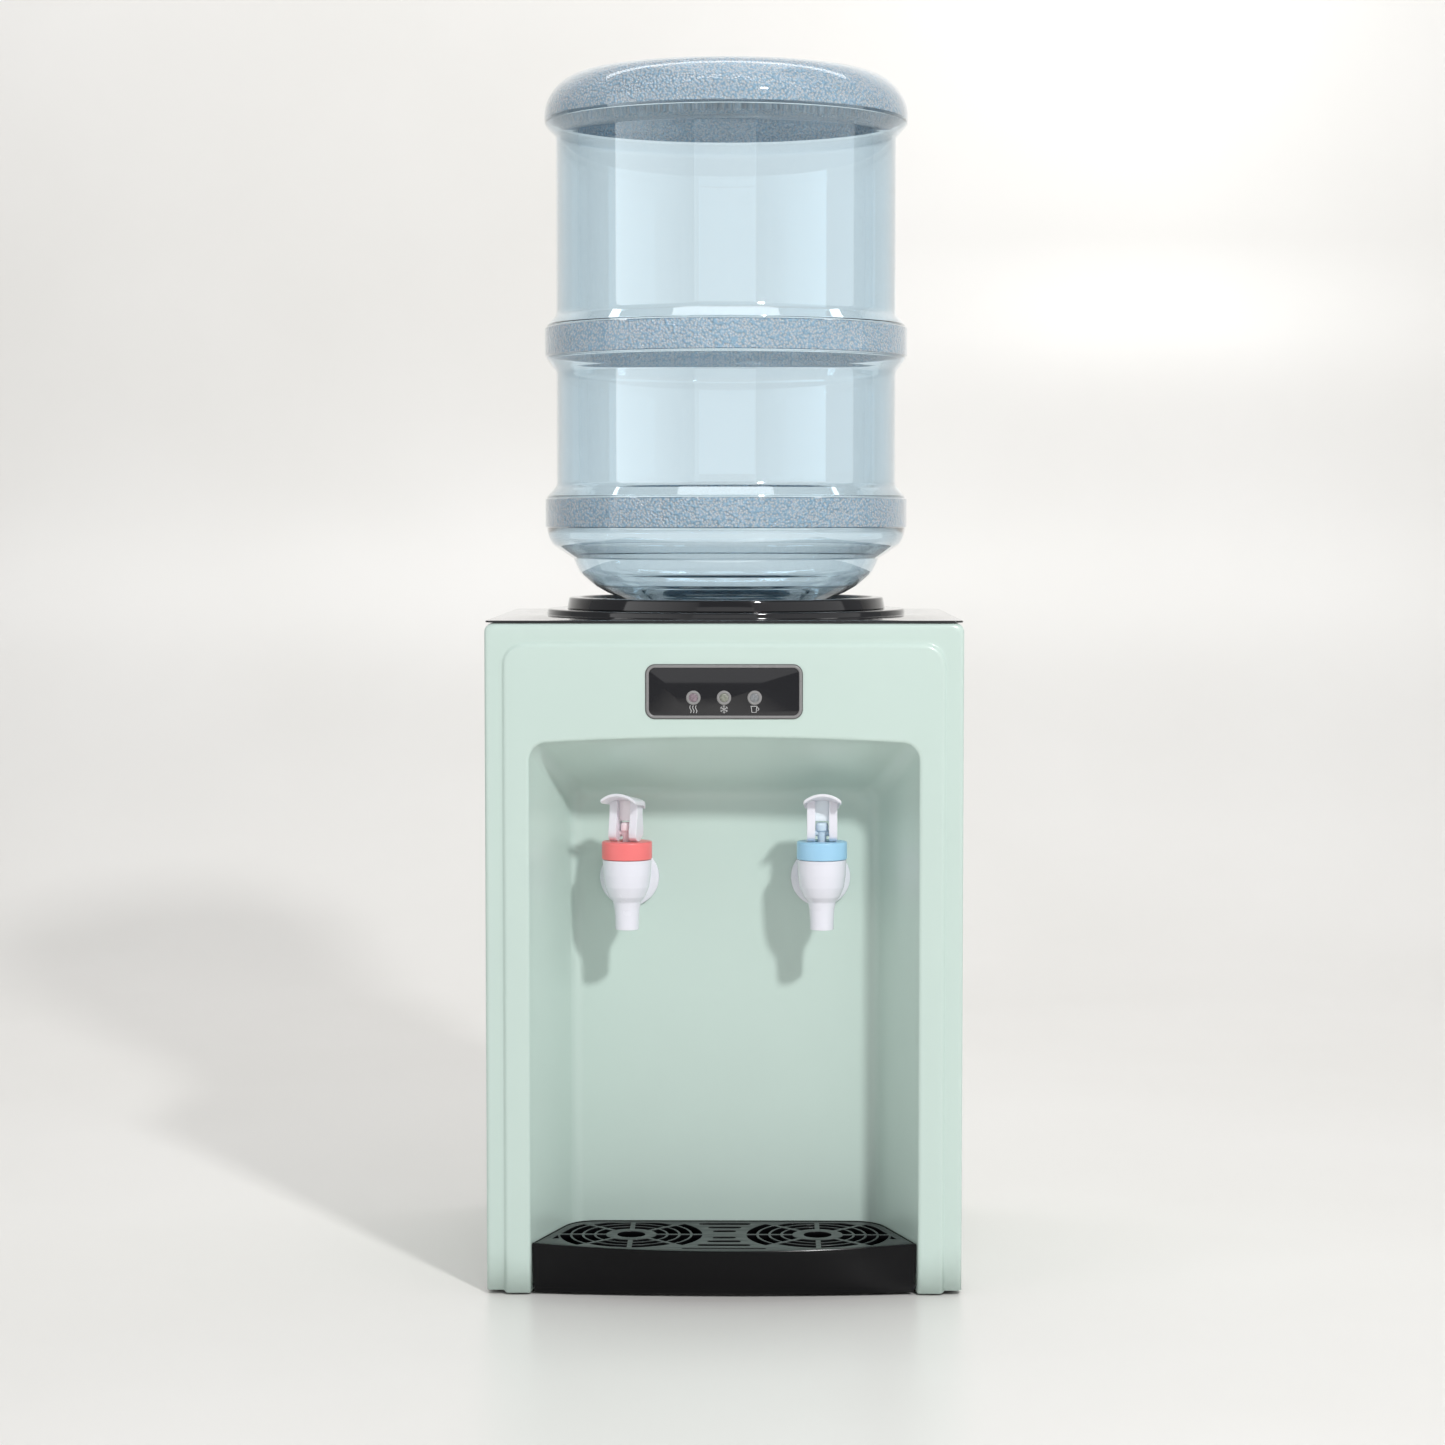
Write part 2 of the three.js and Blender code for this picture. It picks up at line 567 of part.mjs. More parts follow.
function buildTray() {
  const floor = BASE.bottom + BASE.thickness + 2 * GAP;
  const under = box(-200, 200, CABINET.front + WALL, 0, 0, floor);
  const lower = trayLoft(floor + 2, TRAY.top, TRAY.wall + 2.4);
  const upper = raised(trayOutline(TRAY.bulgeTop, TRAY.wall), LEDGE, TRAY.top + 1, 8);
  const tray = trayLoft(TRAY.bottom, TRAY.top, 0).subtract(under).subtract(lower).subtract(upper);
  add('drip_tray', tray, GLOSS_BLACK);
}

// One ring slot between two spokes; the spokes keep the same width at every ring.
function ringSlot(centreX, inner, outer, middle, halfSpan) {
  const shape = new THREE.Shape();
  const trim = (radius) => halfSpan - Math.asin(GRILLE.spoke / 2 / radius);
  shape.absarc(centreX, TAP.y, outer, middle - trim(outer), middle + trim(outer));
  shape.absarc(centreX, TAP.y, inner, middle + trim(inner), middle - trim(inner), true);
  return shape;
}

function buildGrille() {
  const top = TRAY.top - GAP;
  const bottom = top - GRILLE.thickness;
  let plate = raised(trayOutline(TRAY.bulgeTop, TRAY.wall + GAP), bottom, top, 8);
  const inside = raised(trayOutline(TRAY.bulgeTop, TRAY.wall + 5), bottom - 2, top + 2, 8);
  const cutters = [];
  for (const side of [-1, 1]) {
    cutters.push(drum('z', GRILLE.hole, bottom - 1, top + 1, [side * GRILLE.centreX, TAP.y], 20));
    for (let ring = 0; ring < GRILLE.rings; ring += 1) {
      const inner = GRILLE.first + ring * GRILLE.pitch;
      for (let spoke = 0; spoke < 8; spoke += 1) {
        const middle = (spoke + 0.5) * (Math.PI / 4);
        const isOuterRing = ring === GRILLE.rings - 1;
        const facesSide = Math.abs(Math.cos(middle)) > Math.abs(Math.sin(middle));
        if (isOuterRing && !facesSide) continue;
        const shape = ringSlot(side * GRILLE.centreX, inner, inner + GRILLE.slot, middle, Math.PI / 8);
        cutters.push(raised(shape, bottom - 1, top + 1, 1));
      }
    }
    const beyond = GRILLE.first + GRILLE.rings * GRILLE.pitch;
    const towardsCorner = side > 0 ? -GRILLE.cornerAngle : Math.PI + GRILLE.cornerAngle;
    const short = ringSlot(side * GRILLE.centreX, beyond, beyond + GRILLE.slot - 0.6, towardsCorner, 0.13);
    cutters.push(raised(short, bottom - 1, top + 1, 1));
  }
  const outerRing = GRILLE.first + GRILLE.rings * GRILLE.pitch + 5.8;
  for (const offset of GRILLE.slatOffsets) {
    const half = GRILLE.centreX - Math.sqrt(outerRing ** 2 - offset ** 2);
    cutters.push(raised(slot(-half, half, TAP.y + offset, 5), bottom - 1, top + 1, 1));
  }
  for (const cutter of cutters) {
    plate = plate.subtract(cutter.intersect(inside));
  }
  add('drip_grille', plate, SATIN_BLACK);
}

// ---------------------------------------------------------------- taps

function tapBody() {
  const outside = turned([
    [TAP.passage, TAP.outlet],
    [TAP.spout, TAP.outlet],
    [TAP.spout + 0.4, TAP.bowlFoot - 3],
    [9.3, TAP.bowlFoot],
    [12.4, 266],
    [15, 273],
    [16.2, 281],
    [TAP.bowl, TAP.ringBottom - GAP],
    [13.2, TAP.ringBottom - GAP],
    [13.2, 299],
    [11, 299],
    [11, 270],
    [7, 264],
    [TAP.passage, 262],
    [TAP.passage, TAP.outlet],
  ]);
  const wallY = RECESS.back - TAP.y;
  const pipe = drum('y', 9, 6, wallY - 3, [0, TAP.pipe])
    .add(drum('y', TAP.flange - 2, wallY - 5, wallY - 3, [0, TAP.pipe], ROUND_STEPS, TAP.flange))
    .add(drum('y', TAP.flange, wallY - 3, wallY - GAP, [0, TAP.pipe]))
    .add(drum('y', 8, wallY - 1, wallY + 16, [0, TAP.pipe]))
    .add(drum('y', STUB.radius, wallY + 15, wallY + 18 + STUB.length, [0, TAP.pipe]));
  const cavity = turned([[0, 262], [7, 264], [11, 270], [11, 300], [0, 300]]);
  const bore = drum('y', STUB.bore, 8, wallY + 40, [0, TAP.pipe], 12);
  return outside.add(pipe.subtract(cavity)).subtract(bore);
}

function tapRing() {
  const { ringBottom, ringTop, ringRadius } = TAP;
  return turned([
    [13.5, ringBottom],
    [ringRadius - 0.6, ringBottom],
    [ringRadius, ringBottom + 0.8],
    [ringRadius, ringTop - 1.2],
    [ringRadius - 1.2, ringTop],
    [5.4, ringTop],
    [5.4, ringTop - 2.5],
    [13.5, ringTop - 2.5],
    [13.5, ringBottom],
  ]);
}

function tapSpring() {
  const coil = { bottom: 278.6, top: 300.9, radius: 6.6, wire: 0.6, turns: 5, steps: 9 };
  const points = [];
  for (let step = 0; step <= coil.turns * coil.steps; step += 1) {
    const angle = (step / coil.steps) * 2 * Math.PI;
    const rise = (coil.top - coil.bottom - 2 * coil.wire) * (step / (coil.turns * coil.steps));
    points.push(new THREE.Vector3(coil.radius * Math.cos(angle), coil.radius * Math.sin(angle),
      coil.bottom + coil.wire + rise));
  }
  const wire = new THREE.Shape();
  wire.absarc(0, 0, coil.wire, 0, 2 * Math.PI);
  return solid(new THREE.ExtrudeGeometry(wire, {
    steps: coil.turns * coil.steps,
    curveSegments: 2,
    bevelEnabled: false,
    extrudePath: new THREE.CatmullRomCurve3(points),
  }));
}

// The lever's side view: a round cam foot, a hub round the pin and a shank.
function leverSide() {
  const { pivot, footRadius, cam } = LEVER;
  const hub = 4.6;
  const shape = new THREE.Shape();
  shape.absarc(-cam, pivot, footRadius, -Math.PI * 0.88, -Math.PI * 0.25);
  shape.lineTo(hub, pivot - 1.5);
  shape.lineTo(hub, pivot + 4);
  shape.quadraticCurveTo(3, 325, 4, 332);
  shape.lineTo(-6, 332);
  shape.quadraticCurveTo(-5, 322, -cam - footRadius + 0.6, pivot + 2);
  return shape;
}

// The thumb pad rises towards its front edge.
function leverPad() {
  const shape = new THREE.Shape();
  shape.moveTo(4.6, 330);
  shape.quadraticCurveTo(5, 333.4, 1, 334.2);
  shape.lineTo(-17, LEVER.top);
  shape.lineTo(-17.8, LEVER.top - 2.2);
  shape.lineTo(-6, 331.4);
  return shape;
}

function tapLever() {
  const { halfWidth, slot: slotHalf, pivot, webFoot, padHalfWidth, padCrown, top } = LEVER;
  const cheeks = swept(leverSide(), -halfWidth, halfWidth);
  const gap = box(-slotHalf, slotHalf, -20, 20, pivot - 12, webFoot);
  const frontHollow = box(-slotHalf, slotHalf, -20, -2.2, webFoot - 1, 330.5);
  const crown = drum('y', padCrown, -20, 8, [0, top - padCrown], WIDE_STEPS);
  const pad = swept(leverPad(), -padHalfWidth, padHalfWidth).intersect(crown);
  const pinHole = drum('x', 2.3, -halfWidth - 1, halfWidth + 1, [0, pivot], 12);
  return cheeks.subtract(gap).subtract(frontHollow).add(pad).subtract(pinHole);
}

function valveStem() {
  const rod = turned([[0, 268], [3, 268], [3, 276], [8.5, 276], [8.5, 278], [3, 278],
    [3, 310.5], [4.3, 311.5], [4.3, 315.5], [3.2, 316.8], [0, 316.8]]);
  return rod.add(drum('x', 2, -LEVER.halfWidth + 0.4, LEVER.halfWidth - 0.4, [0, LEVER.pivot], 12));
}

function valveSeal() {
  return turned([[0, 263], [4, 263.2], [8, 266.6], [8, 270.5], [5, 272], [3 + GAP, 272],
    [3 + GAP, 268 - GAP], [0, 268 - GAP]]);
}

function tapNut() {
  const wallY = RECESS.back - TAP.y;
  return drum('y', 13, wallY + 5, wallY + 12.5, [0, TAP.pipe], 6)
    .subtract(drum('y', 8.3, wallY + 4, wallY + 14, [0, TAP.pipe]));
}

function tapGasket() {
  const wallY = RECESS.back - TAP.y;
  return drum('y', 12.5, wallY + WALL + GAP, wallY + 4.7, [0, TAP.pipe])
    .subtract(drum('y', 8.3, wallY, wallY + 6, [0, TAP.pipe]));
}

function buildTap(name, side, ringLook, turn) {
  const tap = new THREE.Group();
  tap.position.set(side * TAP.x, TAP.y, 0);
  dispenser.add(tap);
  add(`${name}_tap_body`, tapBody(), TAP_WHITE, tap);
  add(`${name}_tap_ring`, tapRing(), ringLook, tap);
  add(`${name}_tap_spring`, tapSpring(), STEEL, tap);
  add(`${name}_tap_gasket`, tapGasket(), SILICONE, tap);
  add(`${name}_tap_nut`, tapNut(), TAP_WHITE, tap);
  add(`${name}_valve_seal`, valveSeal(), SILICONE, tap);
  const head = new THREE.Group();
  head.rotation.z = THREE.MathUtils.degToRad(turn);
  tap.add(head);
  add(`${name}_valve_stem`, valveStem(), TAP_WHITE, head);
  add(`${name}_tap_lever`, tapLever(), TAP_WHITE, head);
}

// ---------------------------------------------------------------- water and cooling circuit

function buildColdTank() {
  const { radius, bottom, top, outlet } = TANK;
  const shelfTop = 288;
  const low = bottom - 14;
  const blockHalf = 22;
  const foamThickness = 8;
  const outlets = [[outlet, BOTTLE_Y], [-outlet, BOTTLE_Y + 20]];
  let tank = drum('z', radius, bottom, top, [0, BOTTLE_Y], WIDE_STEPS)
    .add(box(-blockHalf, blockHalf, BOTTLE_Y, BOTTLE_Y + radius + 16,
      FAN.height - blockHalf, FAN.height + blockHalf))
    .subtract(drum('z', radius - 1.5, bottom + 1.5, top + 1, [0, BOTTLE_Y], WIDE_STEPS));
  let foam = drum('z', radius + foamThickness, shelfTop + GAP, top - 3, [0, BOTTLE_Y], WIDE_STEPS)
    .subtract(drum('z', radius + GAP, bottom - GAP, top, [0, BOTTLE_Y], WIDE_STEPS))
    .subtract(box(-blockHalf - GAP, blockHalf + GAP, BOTTLE_Y, 200,
      FAN.height - blockHalf - GAP, FAN.height + blockHalf + GAP));
  const shelfHalf = CABINET.halfWidth - WALL - GAP;
  let shelf = box(-shelfHalf, shelfHalf, RECESS.back + WALL + 20, 88, shelfTop - 2, shelfTop);
  for (const centre of outlets) {
    tank = tank.add(drum('z', STUB.radius, low - STUB.length, bottom + 1, centre))
      .subtract(drum('z', STUB.bore, low - 2 * STUB.length, bottom + 3, centre));
    foam = foam.subtract(drum('z', STUB.radius + 1, shelfTop - 1, bottom + 2, centre));
    shelf = shelf.subtract(drum('z', STUB.radius + 2, shelfTop - 3, shelfTop + 1, centre));
  }
  add('cold_tank', tank, STEEL);
  add('tank_insulation', foam, FOAM);
  add('tank_shelf', shelf, STEEL);
  const lid = drum('z', radius + 4, top + GAP, top + 3, [0, BOTTLE_Y], WIDE_STEPS)
    .subtract(drum('z', 13, top - 1, top + 4, [0, BOTTLE_Y]));
  add('cold_tank_lid', lid, TAP_WHITE);
}

function buildCooler() {
  const blockFace = BOTTLE_Y + TANK.radius + 16;
  const height = FAN.height;
  add('peltier_module', box(-20, 20, blockFace + GAP, blockFace + 4, height - 20, height + 20), CERAMIC);
  const sinkFront = blockFace + 4 + GAP;
  let sink = box(-48, 48, sinkFront, sinkFront + 6, height - 45, height + 45);
  for (let fin = -5; fin <= 5; fin += 1) {
    sink = sink.add(box(fin * 9 - 1, fin * 9 + 1, sinkFront + 5, FAN.front - 1, height - 45, height + 45));
  }
  add('heat_sink', sink, ALUMINIUM);

  const half = FAN.size / 2;
  let frame = box(-half, half, FAN.front, FAN.back, height - half, height + half)
    .subtract(drum('y', 43, FAN.front - 1, FAN.back + 1, [0, height], 32));
  frame = frame.add(drum('y', 16, FAN.front, FAN.front + 3, [0, height]));
  frame = frame.add(box(-44, 44, FAN.front, FAN.front + 3, height - 2, height + 2));
  frame = frame.add(box(-2, 2, FAN.front, FAN.front + 3, height - 44, height + 44));
  add('fan_frame', frame, SATIN_BLACK);

  const blades = 7;
  const rotorFront = FAN.front + 3 + 2 * GAP;
  let rotor = drum('y', 17, rotorFront, FAN.back - 2, [0, 0]);
  for (let blade = 0; blade < blades; blade += 1) {
    const geometry = new THREE.BoxGeometry(27, 2, 20);
    geometry.translate(27.5, 0, 0).rotateX(THREE.MathUtils.degToRad(55));
    geometry.rotateY((blade / blades) * 2 * Math.PI).translate(0, (rotorFront + FAN.back) / 2, 0);
    rotor = rotor.add(solid(geometry));
  }
  add('fan_rotor', rotor.translate([0, 0, height]), SATIN_BLACK);
}

function buildHotTank() {
  const { x, y, radius, bottom, top } = HOT_TANK;
  const feed = [x + 25, y];
  const tank = drum('z', radius, bottom, top, [x, y], 32)
    .subtract(drum('z', radius - 1.5, bottom + 1.5, top - 1.5, [x, y], 32))
    .add(drum('z', STUB.radius, top - 1, top + STUB.length, [x, y]))
    .add(drum('z', STUB.radius, top - 1, top + STUB.length, feed))
    .add(drum('z', STUB.radius, bottom - STUB.length, bottom + 1, [x, y]))
    .subtract(drum('z', STUB.bore, top - 3, top + 20, [x, y]))
    .subtract(drum('z', STUB.bore, top - 3, top + 20, feed))
    .subtract(drum('z', STUB.bore, bottom - 20, bottom + 3, [x, y]));
  add('hot_tank', tank, STEEL);
  const band = drum('z', radius + 3, 70, 115, [x, y], 32)
    .subtract(drum('z', radius + GAP, 69, 116, [x, y], 32))
    .subtract(box(x - 3, x + 3, y - 60, y, 60, 120));
  add('heater_band', band, STEEL);
  const thermostat = box(x - 9, x + 9, y - radius - 10, y - radius - 1, 135, 153)
    .add(drum('y', 6, y - radius - 15, y - radius - 9, [x, 144], 16));
  add('thermostat', thermostat, CERAMIC);
}

function hose(points) {
  const section = new THREE.Shape();
  section.absarc(0, 0, HOSE.outer, 0, 2 * Math.PI);
  const bore = new THREE.Path();
  bore.absarc(0, 0, HOSE.inner, 0, 2 * Math.PI, true);
  section.holes.push(bore);
  const route = new THREE.CatmullRomCurve3(points.map((p) => new THREE.Vector3(...p)));
  const settings = { steps: 2 * points.length, curveSegments: 4, bevelEnabled: false, extrudePath: route };
  return solid(new THREE.ExtrudeGeometry(section, settings));
}

function buildHoses() {
  const shankEnd = RECESS.back + 17;
  const low = TANK.bottom - 14;
  const tankTop = HOT_TANK.top + GAP;
  const coldRoute = [[25, 10, low], [25, 10, 270], [25, 9, 258], [40, 0, 243], [60, 4, 252], [66, -14, 270],
    [66, -32, TAP.pipe], [66, shankEnd, TAP.pipe]];
  const hotRoute = [[-75, 60, tankTop], [-75, 60, 196], [-75, 59, 206], [-73, 45, 245], [-68, 8, 270],
    [-66, -22, TAP.pipe], [-66, shankEnd, TAP.pipe]];
  const feedRoute = [[-25, 30, low], [-25, 30, 270], [-26, 32, 258], [-38, 45, 232], [-49, 59, 208],
    [-50, 60, 196], [-50, 60, tankTop]];
  const drainRoute = [[-75, 60, HOT_TANK.bottom - GAP], [-75, 60, 35], [-73, 64, 25], [-60, 82, 19],
    [-45, 104, 25], [-40, 121, REAR.drainZ], [-40, 134, REAR.drainZ]];
  add('cold_hose', hose(coldRoute), SILICONE);
  add('hot_hose', hose(hotRoute), SILICONE);
  add('feed_hose', hose(feedRoute), SILICONE);
  add('drain_hose', hose(drainRoute), SILICONE);
}

// ---------------------------------------------------------------- rear fittings and electrics

function buildDrain() {
  const centre = [REAR.drainX, REAR.drainZ];
  const back = CABINET.back;
  const fitting = drum('y', STUB.radius, 134 - STUB.length, 145, centre)
    .add(drum('y', 11, 144, back - WALL - GAP, centre, 16))
    .add(drum('y', 7, back - WALL - 1, back, centre, 16))
    .subtract(drum('y', STUB.bore, 110, 148, centre))
    .subtract(drum('y', 4, 147, back + 1, centre));
  add('drain_fitting', fitting, TAP_WHITE);
  const cap = drum('y', 12, back + GAP, back + 4, centre, 20)
    .add(drum('y', 11, back + 3.9, back + 5, centre, 20))
    .add(drum('y', 3.6, back - 12, back + 1, centre, 16));
  add('drain_cap', cap, SATIN_BLACK);
}

function buildSwitches() {
  const pivot = CABINET.back - 3;
  const rocker = new THREE.Shape();
  rocker.moveTo(-4, -5);
  rocker.lineTo(6.2, -8.5);
  rocker.lineTo(4.7, 0);
  rocker.lineTo(6.2, 8.5);
  rocker.lineTo(-4, 5);
  const restTilt = 10;
  for (const [name, side, look] of [['hot_switch', -1, HOT_RED], ['cold_switch', 1, COLD_BLUE]]) {
    const body = swept(rocker, -5.4, 5.4).rotate([restTilt, 0, 0])
      .translate([REAR.inletX + side * 12, pivot, REAR.switchZ]);
    add(name, body, look);
  }
}

function buildElectrics() {
  const { inletX, inletZ } = REAR;
  const back = CABINET.back;
  let inlet = box(inletX - 13.5, inletX + 13.5, back - 20, back + 2, inletZ - 10, inletZ + 10)
    .add(box(inletX - 16, inletX + 16, back + GAP, back + 2.5, inletZ - 12.5, inletZ + 12.5))
    .subtract(box(inletX - 12, inletX + 12, back - 14, back + 3, inletZ - 8.3, inletZ + 8.3));
  for (const [dx, dz] of [[-7, -2], [0, 2], [7, -2]]) {
    const pinX = inletX + dx;
    const pinZ = inletZ + dz;
    inlet = inlet.add(box(pinX - 1, pinX + 1, back - 15, back - 7, pinZ - 2, pinZ + 2));
  }
  add('power_inlet', inlet, SATIN_BLACK);

  const boardX = CABINET.halfWidth - 14;
  const board = box(boardX, boardX + 1.6, -10, 120, 90, 230)
    .add(box(boardX - 30, boardX + 1, 10, 50, 110, 150))
    .add(box(boardX - 18, boardX + 1, 70, 100, 120, 165))
    .add(drum('x', 8, boardX - 25, boardX + 1, [30, 190], 16))
    .add(drum('x', 8, boardX - 25, boardX + 1, [55, 190], 16));
  add('power_board', board, BOARD_GREEN);
}

// ---------------------------------------------------------------- assembly

buildFrontPanel();
buildSides();
buildRearCover();
buildBase();
buildTopCover();
buildSeat();
buildBottle();
buildDisplay();
buildTray();
buildGrille();
buildTap('hot', -1, HOT_RED, HOT_TURN);
buildTap('cold', 1, COLD_BLUE, 0);
buildColdTank();
buildCooler();
buildHotTank();
buildHoses();
buildDrain();
buildSwitches();
buildElectrics();

export default dispenser;
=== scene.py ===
"""Looks of the countertop water dispenser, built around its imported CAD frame. Sizes are in millimetres."""

import math

import bmesh
import bpy
import numpy as np
from mathutils import Matrix, Vector


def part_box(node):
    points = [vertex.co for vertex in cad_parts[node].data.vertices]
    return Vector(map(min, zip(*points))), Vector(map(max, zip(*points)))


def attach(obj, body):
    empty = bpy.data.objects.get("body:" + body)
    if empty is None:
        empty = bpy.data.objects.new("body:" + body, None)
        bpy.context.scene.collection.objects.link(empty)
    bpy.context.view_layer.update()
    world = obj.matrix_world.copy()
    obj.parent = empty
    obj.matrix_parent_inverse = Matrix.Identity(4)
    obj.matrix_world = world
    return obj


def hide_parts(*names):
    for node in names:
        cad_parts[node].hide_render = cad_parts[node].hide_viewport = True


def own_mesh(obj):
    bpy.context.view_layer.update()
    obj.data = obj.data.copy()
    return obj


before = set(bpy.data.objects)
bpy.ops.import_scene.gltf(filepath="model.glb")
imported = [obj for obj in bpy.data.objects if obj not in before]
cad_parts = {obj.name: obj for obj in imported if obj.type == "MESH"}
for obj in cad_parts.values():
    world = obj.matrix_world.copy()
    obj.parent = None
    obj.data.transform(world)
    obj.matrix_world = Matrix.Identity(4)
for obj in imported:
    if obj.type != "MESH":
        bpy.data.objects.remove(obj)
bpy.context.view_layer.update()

MM = 0.001
FINE = 96  # points round a small turned piece
WIDE = 192  # points round a wide turned piece
SMOOTH_ANGLE = 38  # degrees, over which an edge is kept sharp


# ---- places taken from the frame

def node_box(name):
    """A CAD node's lowest and highest corner in millimetres."""
    low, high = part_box(name)
    return low / MM, high / MM


PANEL_LOW, PANEL_HIGH = node_box("front_panel")
HALF_WIDTH = PANEL_HIGH.x  # 160
PLATEAU_FACE = PANEL_LOW.y  # -142.5
PLATEAU_RISE = 2.5
BORDER_FACE = PLATEAU_FACE + PLATEAU_RISE
PANEL_TOP = PANEL_HIGH.z  # 452.5
RECESS_BACK = PANEL_HIGH.y - 2.5  # -65
CABINET_BACK = node_box("rear_cover")[1].y  # 160
BOTTLE_Y = sum(v.y for v in node_box("bottle")) / 2
BOTTLE_TOP = node_box("bottle")[1].z
BOTTLE_RIM = node_box("bottle")[1].x
BOTTLE_BASE_ROUND = 30
SEAT_TOP = node_box("bottle_seat")[1].z
TRAY_TOP = node_box("drip_tray")[1].z
TRAY_LOW = node_box("drip_tray")[0].z
TAP_X = sum(v.x for v in node_box("cold_tap_ring")) / 2
TAP_Y = sum(v.y for v in node_box("cold_tap_ring")) / 2


# ---- driving dimensions

RECESS = {
    "front": 130, "back": 105, "top_front": 372.6, "top_back": 335, "arch": 3.4, "corner": 12, "blend": 7,
}
PANEL_FOOT = 3  # height of the panels' lower edges
TUB_FOOT = 6.8  # height of the recess's lower edge
PLATEAU = {"half": 148, "top": 439, "corner": 14}
EDGE_ROUND = 3.2  # round of the cabinet's front edges
TIER_RADIUS = 126.75
COVER_HOLE = 108
BOTTLE_WALL = 1.6
GRAINED = [(801, 833), (636, 656), (516, 536)]  # heights of the bottle's pebbled bands
DISPLAY_GLASS = 1.0  # how far the glass stands off the plateau
TRAY = {"side": 0.6, "back": -67, "bulge_top": 25, "bulge_bottom": 8, "corner": 18}
GRILLE = {
    "centre_x": 63.5, "hole": 9.5, "slot": 6.4, "pitch": 8.2, "first": 17.4, "spoke": 2.6, "rings": 4,
    "corner_angle": 9.2, "thickness": 3.0, "edge": 0.45, "slats": (-44, -33, -21.5, -10, 10, 21.5, 33),
}
SMALLEST_HOLE = 9  # square millimetres, below which a cut-off slot is left out
TAP = {"pipe_height": 275, "flange_radius": 20.5}
LEVER = {
    "pivot": 309.6, "cam": 3.8, "foot_radius": 5.3, "hub": 4.6, "half_width": 10.2, "slot": 4.7,
    "pad_half_width": 13, "pad_crown": 19.5, "pad_back": 4.6, "pad_front": -17.4, "pad_low": 334.2,
    "top": 337.6,
}

# The stage, in metres
CAMERA = {"place": (0.0206, -2.314, 0.5208), "down": 3.54, "left": 0.57, "sensor": 36, "lens": 81.4}
WORLD_STRENGTH = 0.28
LIGHTS = [  # name, place, target, size, power
    ("key", (1.12, -2.41, 2.14), (0, -0.1, 0.3), (0.2, 0.2), 56),
    ("front", (0, -2.55, 0.92), (0, 0, 0.75), (1.86, 0.8), 2.6),
    ("overhead", (0, 0.0, 2.9), (0, 0, 0.4), (1.6, 1.6), 12),
    ("backdrop", (0, 0.75, 2.6), (0, 2.2, 0.9), (3.2, 0.6), 26),
]
SOFT_BOX_REACH = 1.9
SOFT_BOXES = [  # name, first and last bearing off straight ahead in degrees, power, brightness at its ends
    ("left_box", -77, -19.5, 12.5, (1.0, 0.2)),
    ("right_box", 19.5, 94, 8, (0.45, 1.0)),
]


# ---- materials

def new_material(name):
    material = bpy.data.materials.new(name)
    material.use_nodes = True
    shader = material.node_tree.nodes["Principled BSDF"]
    return material, material.node_tree, shader


def wire(source, target):
    source.id_data.links.new(source, target)


def set_inputs(made, values):
    for key, value in values.items():
        made.inputs[key].default_value = value


def node(tree, kind, inputs=None, **settings):
    """A shader node with its input values and its settings."""
    made = tree.nodes.new(kind)
    for key, value in settings.items():
        setattr(made, key, value)
    set_inputs(made, inputs or {})
    return made


def object_noise(tree, scale, detail, stretch=(1, 1, 1)):
    """Noise that follows the object, with scale in cycles per metre."""
    place = node(tree, "ShaderNodeTexCoord")
    mapping = node(tree, "ShaderNodeMapping", {"Scale": stretch})
    wire(place.outputs["Object"], mapping.inputs["Vector"])
    made = node(tree, "ShaderNodeTexNoise", {"Scale": scale, "Detail": detail})
    wire(mapping.outputs["Vector"], made.inputs["Vector"])
    return made.outputs["Fac"]


def ramp(tree, source, low, high, start=0.3, end=0.7):
    """Turns a 0 to 1 value into a colour between low and high."""
    made = node(tree, "ShaderNodeValToRGB")
    made.color_ramp.elements[0].position = start
    made.color_ramp.elements[1].position = end
    made.color_ramp.elements[0].color = (*low, 1)
    made.color_ramp.elements[1].color = (*high, 1)
    wire(source, made.inputs["Fac"])
    return made.outputs["Color"]


def spread(tree, source, low, high):
    """Turns a 0 to 1 value into a number between low and high."""
    made = node(tree, "ShaderNodeMapRange", {"To Min": low, "To Max": high})
    wire(source, made.inputs["Value"])
    return made.outputs["Result"]


def bump(tree, shader, height, strength, distance):
    made = node(tree, "ShaderNodeBump", {"Strength": strength, "Distance": distance})
    wire(height, made.inputs["Height"])
    wire(made.outputs["Normal"], shader.inputs["Normal"])


def shade(color, change):
    return tuple(max(0.0, channel * (1 + change)) for channel in color)


def moulded(name, color, roughness, variation, grain=900, depth=0.02, coat=0.0, soft=0.0, gloss=0.5):
    """Moulded plastic: faint cloudy colour, uneven gloss and a fine skin whose depth is in millimetres."""
    material, tree, shader = new_material(name)
    cloud = object_noise(tree, 9, 4)
    cloudy = ramp(tree, cloud, shade(color, -variation), shade(color, variation))
    wire(cloudy, shader.inputs["Base Color"])
    skin_noise = object_noise(tree, 60, 4)
    wire(spread(tree, skin_noise, roughness * 0.85, roughness * 1.15), shader.inputs["Roughness"])
    bump(tree, shader, object_noise(tree, grain, 2), 0.25, depth * MM)
    set_inputs(shader, {"Specular IOR Level": gloss, "Coat Weight": coat, "Coat Roughness": 0.08})
    if soft:
        let_light_in(shader, soft, 4)
    return material


def let_light_in(shader, weight, depth):
    """Lets light scatter under the surface, to a depth in millimetres."""
    reach = (depth * MM, depth * MM, depth * MM)
    set_inputs(shader, {"Subsurface Weight": weight, "Subsurface Radius": reach, "Subsurface Scale": 1.0})


